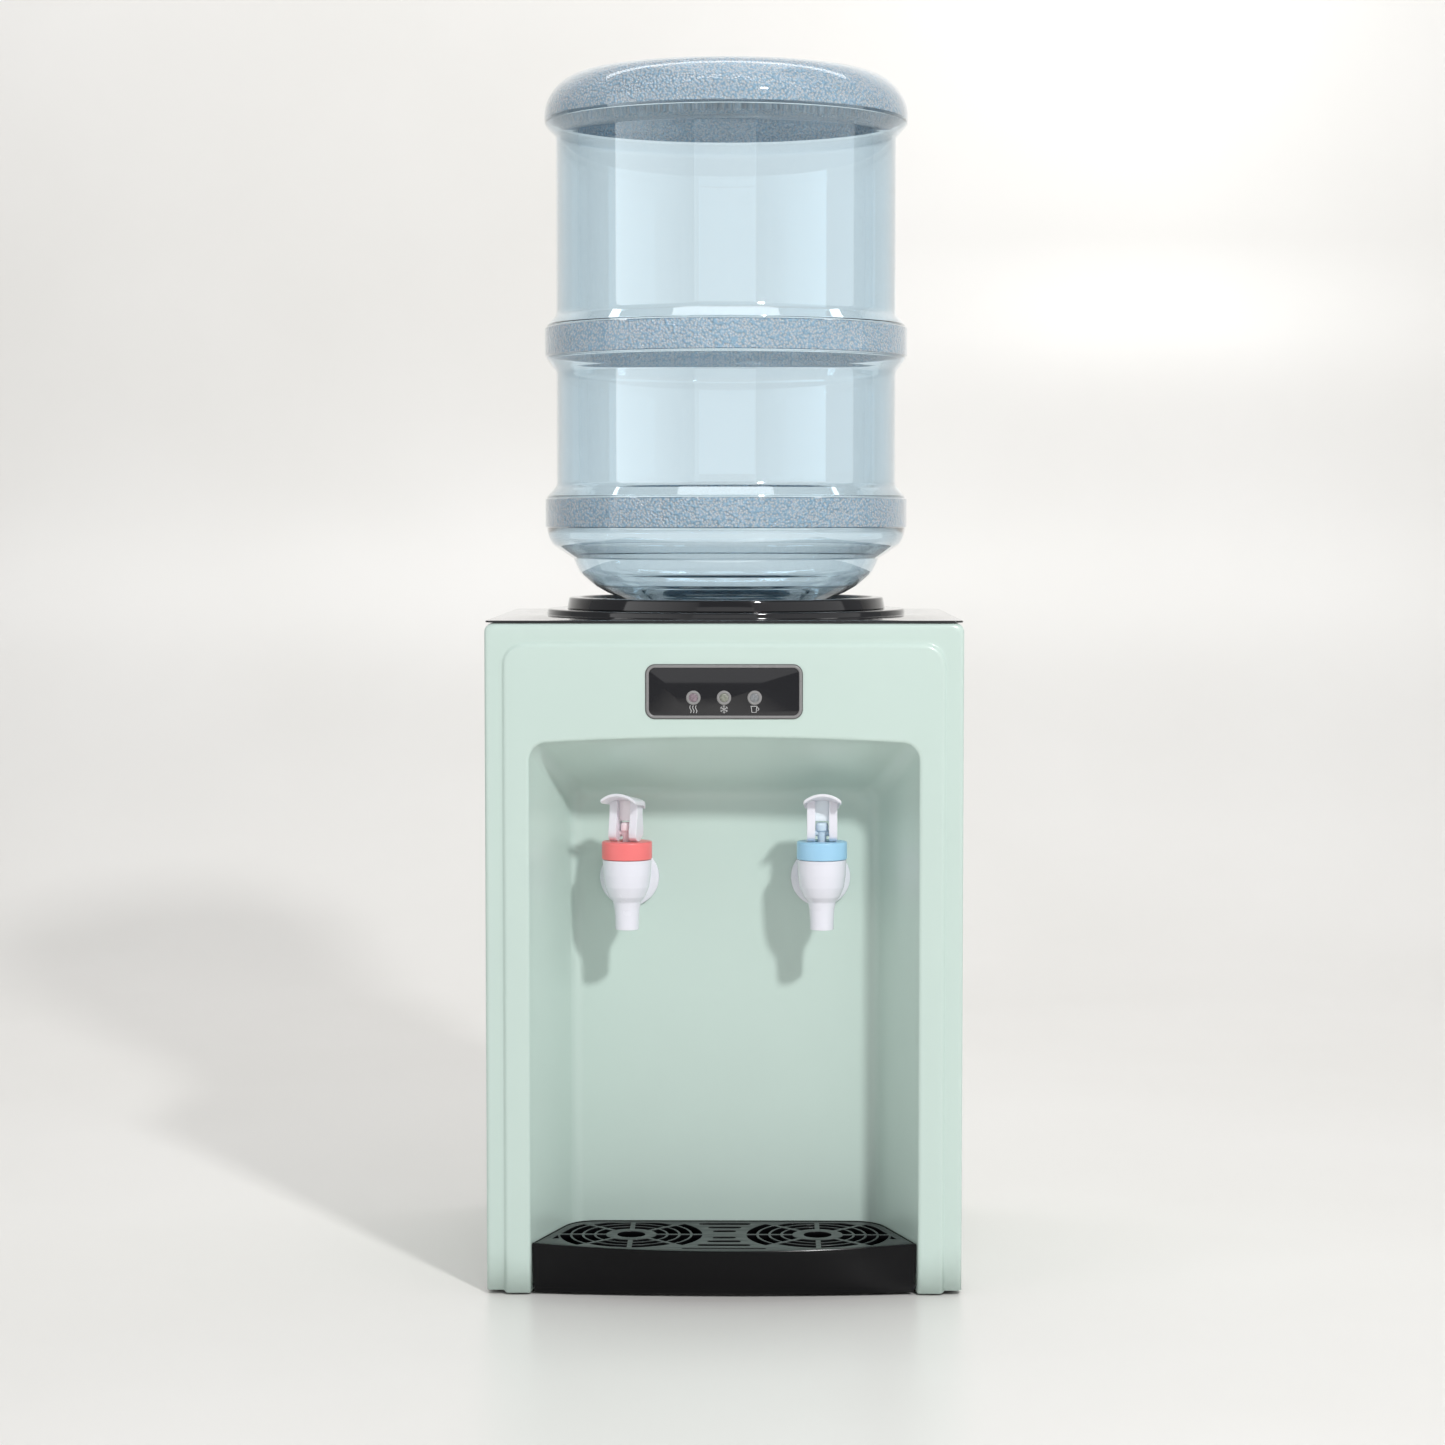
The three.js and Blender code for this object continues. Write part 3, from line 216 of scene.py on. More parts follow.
def metal(name, color, roughness):
    """Metal with fine upright brushing."""
    material, tree, shader = new_material(name)
    set_inputs(shader, {"Metallic": 1.0})
    brushed = object_noise(tree, 120, 3, stretch=(1, 1, 40))
    wire(ramp(tree, brushed, shade(color, -0.1), shade(color, 0.1)), shader.inputs["Base Color"])
    wire(spread(tree, brushed, roughness * 0.8, roughness * 1.3), shader.inputs["Roughness"])
    bump(tree, shader, brushed, 0.1, 0.0001)
    return material


def above(tree, height, edge):
    """1 where a height in metres is over an edge in millimetres, else 0."""
    made = node(tree, "ShaderNodeMath", operation="GREATER_THAN")
    wire(height, made.inputs[0])
    made.inputs[1].default_value = edge * MM
    return made.outputs[0]


def combine(tree, operation, first, second):
    made = node(tree, "ShaderNodeMath", operation=operation)
    wire(first, made.inputs[0])
    wire(second, made.inputs[1])
    return made.outputs[0]


def bottle_plastic():
    """Clear polycarbonate, tinted through its thickness, with bands of a pebbled, frosted skin."""
    material, tree, shader = new_material("bottle_clear")
    set_inputs(shader, {"IOR": 1.58, "Coat Weight": 1.0})
    place = node(tree, "ShaderNodeTexCoord")
    split = node(tree, "ShaderNodeSeparateXYZ")
    wire(place.outputs["Object"], split.inputs["Vector"])
    height = split.outputs["Z"]
    grained = above(tree, height, GRAINED[0][0])
    for low, high in GRAINED[1:]:
        band = combine(tree, "SUBTRACT", above(tree, height, low), above(tree, height, high))
        grained = combine(tree, "ADD", grained, band)
    cells = node(tree, "ShaderNodeTexVoronoi", {"Scale": 560.0}, feature="F1")
    wire(place.outputs["Object"], cells.inputs["Vector"])
    ripple = object_noise(tree, 14, 2, stretch=(1, 1, 0.15))
    faint = node(tree, "ShaderNodeBump", {"Strength": 0.03, "Distance": 0.002})
    wire(ripple, faint.inputs["Height"])
    pebbles = node(tree, "ShaderNodeBump", {"Distance": 0.0017})
    wire(cells.outputs["Distance"], pebbles.inputs["Height"])
    wire(grained, pebbles.inputs["Strength"])
    wire(faint.outputs["Normal"], pebbles.inputs["Normal"])
    wire(pebbles.outputs["Normal"], shader.inputs["Normal"])
    wire(spread(tree, grained, 0.01, 0.03), shader.inputs["Roughness"])
    wire(spread(tree, grained, 1.0, 0.5), shader.inputs["Transmission Weight"])
    rims = combine(tree, "MULTIPLY", grained, cells.outputs["Distance"])
    mottled = ramp(tree, rims, (0.975, 0.99, 1.0), (0.42, 0.68, 0.88), 0.15, 0.75)
    wire(mottled, shader.inputs["Base Color"])
    tint = node(tree, "ShaderNodeVolumeAbsorption", {"Color": (0.14, 0.72, 1.0, 1), "Density": 95.0})
    wire(tint.outputs["Volume"], tree.nodes["Material Output"].inputs["Volume"])
    return material


MINT = moulded("mint_plastic", (0.575, 0.700, 0.645), 0.30, 0.012, grain=700, coat=0.2)
BLACK_GLOSS = moulded("gloss_black", (0.010, 0.010, 0.012), 0.06, 0.15, grain=300, depth=0.004, coat=0.4)
BLACK_TRAY = moulded("tray_black", (0.0035, 0.0035, 0.0042), 0.22, 0.15, grain=900, depth=0.02, gloss=0.16)
BLACK_GRILLE = moulded("grille_black", (0.011, 0.0115, 0.013), 0.3, 0.15, grain=1200, depth=0.04)
BLACK_SATIN = moulded("satin_black", (0.025, 0.026, 0.029), 0.38, 0.15, grain=1200, depth=0.05)
RUBBER = moulded("foot_rubber", (0.02, 0.02, 0.02), 0.75, 0.2, grain=1500, depth=0.1)
BEZEL_GREY = moulded("bezel_grey", (0.25, 0.245, 0.245), 0.28, 0.04, coat=0.2)
# Dark grey edge ring: painted shade, standing in for the shadow gap round the display frame.
BEZEL_SHADE_EDGE = moulded("bezel_shade_edge", (0.10, 0.10, 0.10), 0.4, 0.05)
LAMP_RING = moulded("lamp_ring", (0.27, 0.265, 0.265), 0.3, 0.05, coat=0.3)
TAP_WHITE = moulded("tap_white", (0.80, 0.80, 0.87), 0.26, 0.012, grain=1100, coat=0.2, soft=0.15)
LEVER_WHITE = moulded("lever_white", (0.78, 0.77, 0.83), 0.3, 0.012, grain=1100, coat=0.15, soft=0.35)
HOT_RED = moulded("hot_red", (0.93, 0.205, 0.205), 0.32, 0.03, grain=1300, depth=0.04, soft=0.1)
COLD_BLUE = moulded("cold_blue", (0.36, 0.64, 0.86), 0.32, 0.03, grain=1300, depth=0.04, soft=0.1)
# Webs and stems: the pink and blue tints are their own, but the colours are raised above their seen tone as
# painted light, making up for the shade that the pad and cheeks cast on them.
HOT_WEB = moulded("hot_web", (0.94, 0.89, 0.92), 0.35, 0.02, soft=0.3)
COLD_WEB = moulded("cold_web", (0.84, 0.91, 0.96), 0.35, 0.02, soft=0.3)
HOT_STEM = moulded("hot_stem", (0.93, 0.78, 0.81), 0.35, 0.02, soft=0.3)
COLD_STEM = moulded("cold_stem", (0.62, 0.75, 0.84), 0.35, 0.02, soft=0.3)
ICON_GREY = moulded("icon_grey", (0.50, 0.50, 0.50), 0.4, 0.05)
SILICONE = moulded("silicone", (0.62, 0.62, 0.62), 0.5, 0.03, soft=0.2)
CERAMIC = moulded("ceramic", (0.82, 0.81, 0.76), 0.55, 0.03)
FOAM = moulded("foam", (0.03, 0.03, 0.033), 0.9, 0.2, grain=500, depth=0.4)
BOARD = moulded("circuit_board", (0.02, 0.16, 0.05), 0.45, 0.2, grain=200, depth=0.1)
STEEL = metal("steel", (0.58, 0.58, 0.59), 0.3)
ALUMINIUM = metal("aluminium", (0.70, 0.70, 0.72), 0.4)
BOTTLE_CLEAR = bottle_plastic()


def lamp_lens(name, color):
    """A frosted lens over a lamp that is off: mottled and a little translucent."""
    material, tree, shader = new_material(name)
    mottle = object_noise(tree, 900, 2)
    wire(ramp(tree, mottle, shade(color, -0.35), shade(color, 0.35)), shader.inputs["Base Color"])
    set_inputs(shader, {"Roughness": 0.35})
    let_light_in(shader, 0.3, 1)
    bump(tree, shader, mottle, 0.5, 0.0003)
    return material


LENSES = {
    "hot_lamp": lamp_lens("hot_lens", (0.26, 0.20, 0.23)),
    "cold_lamp": lamp_lens("cold_lens", (0.24, 0.25, 0.21)),
    "warm_lamp": lamp_lens("warm_lens", (0.23, 0.24, 0.25)),
}


# ---- mesh helpers

def mesh_object(name, bm, materials):
    """Makes an object, shaded smooth, from a bmesh drawn in millimetres."""
    bmesh.ops.scale(bm, vec=(MM, MM, MM), verts=bm.verts)
    mesh = bpy.data.meshes.new(name)
    bm.to_mesh(mesh)
    bm.free()
    for material in materials:
        mesh.materials.append(material)
    mesh.shade_smooth()
    made = bpy.data.objects.new(name, mesh)
    bpy.context.scene.collection.objects.link(made)
    return made


def finish_mesh(name, bm, materials, body, replaces=(), weld=0.001, angle=SMOOTH_ANGLE):
    """Welds a bmesh, makes it an object with its sharp edges kept and ties it to its CAD body."""
    bmesh.ops.remove_doubles(bm, verts=bm.verts, dist=weld)
    bmesh.ops.recalc_face_normals(bm, faces=bm.faces)
    piece = mesh_object(name, bm, materials)
    piece.data.set_sharp_from_angle(angle=math.radians(angle))
    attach(piece, body)
    if replaces:
        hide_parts(*replaces)
    return piece


def skin(bm, loops, around=False, caps=False):
    """Skins loops of equal length with quads; around closes each loop, caps closes both ends."""
    rows = [[bm.verts.new(point) for point in loop] for loop in loops]
    count = len(rows[0])
    last = count if around else count - 1
    for lower, upper in zip(rows, rows[1:]):
        for i in range(last):
            j = (i + 1) % count
            bm.faces.new((lower[i], lower[j], upper[j], upper[i]))
    if caps:
        bm.faces.new(rows[0])
        bm.faces.new(rows[-1][::-1])
    return rows


def skinned(loops, around=True, caps=False):
    """A new bmesh that holds one skin."""
    bm = bmesh.new()
    skin(bm, loops, around, caps)
    return bm


def arc(centre, radius, start, end, steps):
    """Points of an arc in the plane, with angles in degrees."""
    angles = [math.radians(start + (end - start) * i / steps) for i in range(steps + 1)]
    return [(centre[0] + radius * math.cos(a), centre[1] + radius * math.sin(a)) for a in angles]


def quadratic(start, corner, end, steps):
    """Points along a curve that leaves start towards corner and comes into end from it."""
    start, corner, end = Vector(start), Vector(corner), Vector(end)
    shares = [i / steps for i in range(steps + 1)]
    return [tuple(start * (1 - t) ** 2 + corner * 2 * t * (1 - t) + end * t ** 2) for t in shares]


def rounded(corners, steps=5):
    """An open outline of (u, v, radius) corners with each corner rounded by its radius."""
    outline = [corners[0][:2]]
    for before, here, after in zip(corners, corners[1:], corners[2:]):
        corner = Vector(here[:2])
        back = Vector(before[:2]) - corner
        ahead = Vector(after[:2]) - corner
        radius = here[2] if len(here) > 2 else 0
        if radius <= 0:
            outline.append(tuple(corner))
            continue
        half = back.angle(ahead) / 2
        reach = min(radius / math.tan(half), back.length * 0.499, ahead.length * 0.499)
        start = corner + back.normalized() * reach
        end = corner + ahead.normalized() * reach
        outline += quadratic(start, corner, end, steps)
    outline.append(tuple(corners[-1][:2]))
    return outline


def between(start, end, steps):
    """The points that split a straight line into steps, without its ends."""
    shares = [i / steps for i in range(1, steps)]
    return [(start[0] * (1 - t) + end[0] * t, start[1] * (1 - t) + end[1] * t) for t in shares]


def turned(profile, centre=(0, 0), steps=FINE, axis="z"):
    """A profile of (radius, height) turned about an upright axis, or one along y, through centre."""
    loops = []
    for radius, height in profile:
        loop = []
        for i in range(steps):
            angle = 2 * math.pi * i / steps
            a, b = radius * math.cos(angle), radius * math.sin(angle)
            if axis == "z":
                loop.append((centre[0] + a, centre[1] + b, height))
            else:
                loop.append((centre[0] + a, height, centre[1] + b))
        loops.append(loop)
    return skinned(loops)


def turned_piece(name, profile, centre, steps, material, body, replaces=(), axis="z"):
    finish_mesh(name, turned(profile, centre, steps, axis), [material], body, replaces)


def rectangle_loop(half_width, low, high, radius, corner_steps, side_steps):
    """A closed rounded rectangle of (u, v), anticlockwise from the bottom right."""
    points = []
    corners = [
        ((half_width - radius, low + radius), -90),
        ((half_width - radius, high - radius), 0),
        ((radius - half_width, high - radius), 90),
        ((radius - half_width, low + radius), 180),
    ]
    for index, (centre, start) in enumerate(corners):
        bend = arc(centre, radius, start, start + 90, corner_steps)
        following, angle = corners[(index + 1) % 4]
        target = arc(following, radius, angle, angle, 1)[0]
        points += bend + between(bend[-1], target, side_steps)
    return points


def solidify(piece, thickness):
    """Gives a one-sided sheet its wall, inwards from the visible side."""
    modifier = piece.modifiers.new("wall", "SOLIDIFY")
    modifier.thickness = thickness * MM
    modifier.offset = -1


def soften(piece, width, segments, angle=40):
    """Rounds a piece's sharp edges."""
    modifier = piece.modifiers.new("soft_edges", "BEVEL")
    modifier.width = width * MM
    modifier.segments = segments
    modifier.limit_method = "ANGLE"
    modifier.angle_limit = math.radians(angle)


# ---- stage, lights and camera

def build_stage():
    """A pale floor that sweeps up into the backdrop."""
    material, tree, shader = new_material("floor_pale")
    cloud = object_noise(tree, 2.0, 4)
    pale = ramp(tree, cloud, (0.80, 0.785, 0.755), (0.84, 0.825, 0.80))
    wire(pale, shader.inputs["Base Color"])
    set_inputs(shader, {"Roughness": 0.32})
    sweep_start, sweep = 1200, 900
    profile = [(-3600, 0), (-1200, 0), (0, 0), (sweep_start, 0)]
    profile += [(sweep_start + sweep * math.sin(a), sweep - sweep * math.cos(a))
                for a in np.linspace(0.1, math.pi / 2, 12)]
    profile += [(2100, 3200)]
    loops = [[(x, y, z) for x in (-4200, 0, 4200)] for y, z in profile]
    mesh_object("floor", skinned(loops, around=False), [material])


def area_light(name, place, target, size, power):
    data = bpy.data.lights.new(name, "AREA")
    data.shape = "RECTANGLE"
    data.size, data.size_y = size
    data.energy = power
    light = bpy.data.objects.new(name, data)
    light.location = place
    light.rotation_euler = (Vector(target) - Vector(place)).to_track_quat("-Z", "Y").to_euler()
    bpy.context.scene.collection.objects.link(light)
    return data


def fade_across(light, left, right):
    """Makes an area light brighter towards one side."""
    light.use_nodes = True
    tree = light.node_tree
    across = node(tree, "ShaderNodeNewGeometry")
    split = node(tree, "ShaderNodeSeparateXYZ")
    wire(across.outputs["Parametric"], split.inputs["Vector"])
    wire(spread(tree, split.outputs["X"], left, right), tree.nodes["Emission"].inputs["Strength"])


def build_lights():
    """A small key from the upper right, tall soft boxes on both sides, and fill for the rest."""
    world = bpy.data.worlds.new("studio")
    world.use_nodes = True
    background = world.node_tree.nodes["Background"]
    set_inputs(background, {"Color": (0.95, 0.97, 1.0, 1), "Strength": WORLD_STRENGTH})
    bpy.context.scene.world = world
    for settings in LIGHTS:
        area_light(*settings)
    for name, start, end, power, fade in SOFT_BOXES:
        middle = math.radians((start + end) / 2)
        width = 2 * SOFT_BOX_REACH * math.tan(math.radians(end - start) / 2)
        place = (SOFT_BOX_REACH * math.sin(middle), -SOFT_BOX_REACH * math.cos(middle), 0.85)
        light = area_light(name, place, (0, 0, 0.75), (width, 1.5), power)
        fade_across(light, *fade)


def build_camera():
    data = bpy.data.cameras.new("camera")
    data.sensor_width = CAMERA["sensor"]
    data.lens = CAMERA["lens"]
    camera = bpy.data.objects.new("camera", data)
    camera.location = CAMERA["place"]
    camera.rotation_euler = (math.radians(90 - CAMERA["down"]), 0, math.radians(CAMERA["left"]))
    bpy.context.scene.collection.objects.link(camera)
    bpy.context.scene.camera = camera


def set_view():
    view = bpy.context.scene.view_settings
    view.view_transform = "Standard"
    view.look = "None"


# ---- front panel

def arch_loop(y, half_width, top, corner, arch=0.0, foot=PANEL_FOOT):
    """An open loop up one leg, over the top and down the other."""
    leg, bend, span = 14, 8, 16
    loop = [(-half_width, foot + (top - corner - foot) * i / leg) for i in range(leg)]
    loop += arc((-half_width + corner, top - corner), corner, 180, 90, bend)
    for i in range(1, span):
        x = (half_width - corner) * (2 * i / span - 1)
        loop.append((x, top + arch * (1 - (x / (half_width - corner)) ** 2)))
    loop += arc((half_width - corner, top - corner), corner, 90, 0, bend)
    loop += [(half_width, top - corner - (top - corner - foot) * (i + 1) / leg) for i in range(leg)]
    return [(x, y, z) for x, z in loop]


def recess_at(y):
    """Half width and ceiling of the recess at a depth, before its round into the back wall."""
    t = (y - BORDER_FACE) / (RECESS_BACK - BORDER_FACE)
    half = RECESS["front"] + (RECESS["back"] - RECESS["front"]) * t
    top = RECESS["top_front"] + (RECESS["top_back"] - RECESS["top_front"]) * t
    return half, top, RECESS["arch"] * (1 - t)


def front_panel_loops():
    """Loops from the panel's rear edge over the border and the plateau and down into the recess."""
    face, border = PLATEAU_FACE, BORDER_FACE
    wide, high = HALF_WIDTH, PANEL_TOP
    loops = []
    for back, inset, corner in ((22, 0.9, 5), (21.8, 0.25, 6), (21.2, 0, 6), (12, 0, 6)):
        loops.append(arch_loop(border + back, wide - inset, high - inset, corner))
    for i in range(7):
        a = math.radians(15 * i)
        inset = EDGE_ROUND * (1 - math.cos(a))
        back = EDGE_ROUND * (1 - math.sin(a))
        loops.append(arch_loop(border + back, wide - inset, high - inset, 6 + inset * 0.6))
    for inset, rise, foot in ((-3.0, 0.0, 3), (-0.7, 0.0, 3), (-0.15, 0.15, 2.7), (0.35, 0.7, 2.2),
                              (0.9, 1.45, 1.9), (1.5, 2.05, 1.7), (2.3, 2.4, 1.55), (3.3, 2.5, 1.5)):
        half, top = PLATEAU["half"] - inset, PLATEAU["top"] - inset
        loops.append(arch_loop(border - rise, half, top, PLATEAU["corner"] - inset * 0.5, foot=foot))
    half, top, arch = recess_at(border)
    for grow, back in ((9, 0), (3.2, 0), (2.4, 0.0), (1.5, 0.18), (0.7, 0.65), (0.2, 1.4), (0, 2.4)):
        corner = RECESS["corner"] + grow * 0.7
        loops.append(arch_loop(face + back, half + grow, top + grow, corner, arch, foot=1.5))
    blend_start = RECESS_BACK - RECESS["blend"]
    for step in range(1, 9):
        y = border + (blend_start - border) * step / 8
        half, top, arch = recess_at(y)
        foot = TUB_FOOT if step > 1 else 4
        loops.append(arch_loop(y, half, top, RECESS["corner"], arch, foot=foot))
    for step in range(1, 9):
        a = math.radians(90 * step / 8)
        y = blend_start + RECESS["blend"] * math.sin(a)
        inset = RECESS["blend"] * (1 - math.cos(a))
        half, top, arch = recess_at(y)
        loops.append(arch_loop(y, half - inset, top - inset, RECESS["corner"], arch, foot=TUB_FOOT))
    half, top, _ = recess_at(RECESS_BACK)
    inset = RECESS["blend"] + 2
    loops.append(arch_loop(RECESS_BACK, half - inset, top - inset, RECESS["corner"], foot=TUB_FOOT))
    return loops


def build_front_panel():
    """One moulded sheet: the cabinet's front, with the recess closed by a flat back wall."""
    bm = bmesh.new()
    rows = skin(bm, front_panel_loops())
    bm.faces.new(rows[-1])
    panel = finish_mesh("front_panel_moulding", bm, [MINT], "cabinet", ("front_panel",),
                        angle=60)
    solidify(panel, 2.0)


# ---- sides, rear cover, base and feet

def build_sides():
    """Folded side panels: a wall, a round top bend and a lip under the top cover."""
    front, back = BORDER_FACE + 22.3, CABINET_BACK - 2.8
    wall, lip, bend = 2.5, 10, 6
    foot, top = PANEL_FOOT, PANEL_TOP
    for side, name in ((-1, "side_panel_left"), (1, "side_panel_right")):
        outer = [(HALF_WIDTH, foot)]
        outer += arc((HALF_WIDTH - bend, top - bend), bend, 0, 90, 10) + [(HALF_WIDTH - lip, top)]
        inner = [(HALF_WIDTH - lip, top - wall)]
        inner += arc((HALF_WIDTH - bend, top - bend), bend - wall, 90, 0, 10) + [(HALF_WIDTH - wall, foot)]
        loops = [[(side * x, y, z) for x, z in outer + inner] for y in (front, back)]
        piece = finish_mesh(f"{name}_shell", skinned(loops, caps=True), [MINT], "cabinet",
                            (name,))
        soften(piece, 0.5, 2)


def dress_cad_nodes():
    """Gives every CAD node that stays in view, or inside, its material."""
    looks = {
        MINT: ["rear_cover"],
        BLACK_SATIN: ["base_plate", "fan_frame", "fan_rotor", "power_inlet", "drain_cap"],
        TAP_WHITE: ["feed_probe", "bottle_cap", "cold_tank_lid", "drain_fitting", "hot_tap_nut",
                    "cold_tap_nut"],
        STEEL: ["cold_tank", "tank_shelf", "hot_tank", "heater_band"],
        ALUMINIUM: ["heat_sink"],
        CERAMIC: ["peltier_module", "thermostat"],
        FOAM: ["tank_insulation"],
        BOARD: ["lamp_board", "power_board"],
        HOT_RED: ["hot_switch"],
        COLD_BLUE: ["cold_switch"],
        SILICONE: ["feed_hose", "hot_hose", "cold_hose", "drain_hose", "hot_tap_gasket", "cold_tap_gasket",
                   "hot_valve_seal", "cold_valve_seal"],
    }
    for material, names in looks.items():
        for name in names:
            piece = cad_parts[name]
            piece.data.materials.clear()
            piece.data.materials.append(material)


def build_feet():
    """Round rubber pads with a hollow underside."""
    for name in ("foot_front_left", "foot_front_right", "foot_back_left", "foot_back_right"):
        low, high = node_box(name)
        centre = ((low.x + high.x) / 2, (low.y + high.y) / 2)
        radius = (high.x - low.x) / 2
        profile = rounded([
            (0, high.z), (radius, high.z, 0.4), (radius, low.z + 1.2, 0.5), (radius - 0.9, low.z, 0.4),
            (radius - 3, low.z, 0.3), (radius - 3.6, low.z + 0.5, 0.3), (0, low.z + 0.5),
        ])
        turned_piece(f"{name}_pad", profile, centre, FINE, RUBBER, "cabinet", (name,))


# ---- top cover and bottle seat

def build_top_cover():
    """A thin gloss cover, wrapped over the cabinet's top, with a raised tier round the bottle's seat."""
    plate_low, plate_top, tier_top = PANEL_TOP + 0.3, PANEL_TOP + 1.7, PANEL_TOP + 6.1
    half, front, back, corner = HALF_WIDTH - 0.5, BORDER_FACE + 0.5, CABINET_BACK, 6

    def outline(inset):
        return rectangle_loop(half - inset, front + inset, back - inset, corner - inset, 12, 40)

    def edge(inset, z):
        return [(x, y, z) for x, y in outline(inset)]

    angles = [math.atan2(y - BOTTLE_Y, x) for x, y in outline(0)]

    def ring(radius, z):
        return [(radius * math.cos(a), BOTTLE_Y + radius * math.sin(a), z) for a in angles]

    loops = [ring(COVER_HOLE + 2, plate_low - 9), ring(COVER_HOLE + 2, plate_low)]
    loops += [edge(4, plate_low), edge(0.5, plate_low)]
    loops += [edge(0.15, plate_low + 0.15), edge(0, plate_low + 0.5), edge(0, plate_top - 0.6)]
    loops += [edge(0.15, plate_top - 0.2), edge(0.6, plate_top), edge(3, plate_top)]
    fillet = 0.9
    loops.append(ring(TIER_RADIUS + fillet, plate_top))
    loops += [ring(TIER_RADIUS + fillet * (1 - math.sin(a)), plate_top + fillet * (1 - math.cos(a)))
              for a in np.linspace(0.3, math.pi / 2, 4)]
    top_round = 1.3
    loops += [ring(TIER_RADIUS - top_round * (1 - math.cos(a)), tier_top - top_round * (1 - math.sin(a)))
              for a in np.linspace(0, math.pi / 2, 6)]
    loops += [ring(COVER_HOLE + 0.6, tier_top), ring(COVER_HOLE, tier_top - 0.6)]
    loops.append(ring(COVER_HOLE, plate_low - 9))
    loops.append(loops[0])
    finish_mesh("top_cover_shell", skinned(loops), [BLACK_GLOSS], "cabinet", ("top_cover",))


def build_seat():
    """The funnel that the bottle's shoulder rests in, with a well for its neck."""
    profile = rounded([
        (8, 372), (12, 372, 0.5), (12, 385.5, 1), (36, 385.5, 2), (36, 441, 3), (75, 448), (106, 452, 2),
        (106, 458.9), (112.8, 458.9, 0.4), (111.3, SEAT_TOP, 1.8), (104, SEAT_TOP, 1.6), (99, 456, 4),
        (70, 452), (66, 451.6, 1), (66, 459.3, 0.8), (60, 459.3, 0.8), (60, 450, 1), (33.5, 445, 2),
        (33.5, 388, 2), (8, 388), (8, 372),
    ], 4)
    turned_piece("bottle_seat_funnel", profile, (0, BOTTLE_Y), WIDE, BLACK_GLOSS, "cabinet",
                 ("bottle_seat",))


# ---- bottle

def bottle_profile():
    """Outer profile from the base, uppermost, to the mouth, as (radius, height)."""
    rim, wall, base = BOTTLE_RIM, BOTTLE_RIM - 8, BOTTLE_TOP - BOTTLE_BASE_ROUND
    profile = [(0, BOTTLE_TOP), (60, BOTTLE_TOP)]
    profile += arc((rim - BOTTLE_BASE_ROUND, base), BOTTLE_BASE_ROUND, 88, 4, 30)
    profile += rounded([
        (rim, 802), (rim, 800.4), (rim - 0.3, 798.6, 1.5), (rim - 3.5, 794.5, 3), (wall, 790, 5),
        (wall, 775),
    ])
    profile += [(wall, 740), (wall, 700)]
    for low, high in GRAINED[1:]:
        profile += rounded([
            (wall, high + 24), (wall, high + 9.5, 7), (rim - 1.2, high + 1.8, 2), (rim - 1, high + 0.4),
        ])
        profile += [(rim, high - 0.4), (rim, (low + high) / 2), (rim, low + 0.4), (rim - 1, low - 0.4)]
        if low > 600:
            profile += rounded([
                (rim - 1, low - 0.4), (rim - 1.4, low - 1.8, 2), (wall, low - 11, 8), (wall, low - 24),
            ])
            profile += [(wall, 600), (wall, 575)]
    profile += rounded([
        (rim - 1, 515.4), (rim - 1.6, 511), (124, 504.5, 12), (111.5, 496), (108.2, 494.2, 1.5),
        (107.4, 491.5, 2), (103, 483, 12), (93, 474.6, 14), (84, 469.8),
    ], 6)
    profile += [(81.5, 468.8), (79, 467.8)]
    profile += rounded([
        (77, 467), (60, 459.6), (34, 448.6, 3), (27.5, 445, 3), (27.5, 402, 0.6), (26.6, 401),
    ])
    return [p for i, p in enumerate(profile) if i == 0 or math.dist(p, profile[i - 1]) > 0.1]


def inward(profile, wall):
    """The same profile, moved in by a wall's thickness."""
    moved = []
    for i, (radius, height) in enumerate(profile):
        before = profile[max(0, i - 1)]
        after = profile[min(len(profile) - 1, i + 1)]
        along = Vector((after[0] - before[0], after[1] - before[1])).normalized()
        moved.append((max(0.0, radius + wall * along.y), height - wall * along.x))
    moved[-1] = (moved[-1][0], profile[-1][1])
    return moved


def build_bottle():
    """The whole bottle as one turned wall."""
    outer = bottle_profile()
    closed = outer + inward(outer, BOTTLE_WALL)[::-1]
    turned_piece("bottle_shell", closed, (0, BOTTLE_Y), WIDE, BOTTLE_CLEAR, "bottle",
                 ("bottle", "bottle_neck"))


# ---- display

def face_ring(name, outer, inner, corner, levels, material, replaces=()):
    """A rounded frame on the plateau; levels are (share from outer to inner edge, height off the face)."""
    middle = sum(v.z for v in node_box("display_bezel")) / 2
    loops = []
    for share, proud in levels:
        half = outer[0] + (inner[0] - outer[0]) * share
        rise = outer[1] + (inner[1] - outer[1]) * share
        radius = corner - (outer[0] - half)
        loops.append([(x, PLATEAU_FACE - proud, z)
                      for x, z in rectangle_loop(half, middle - rise, middle + rise, radius, 10, 4)])
    loops.append(loops[0])
    finish_mesh(name, skinned(loops), [material], "cabinet", replaces)


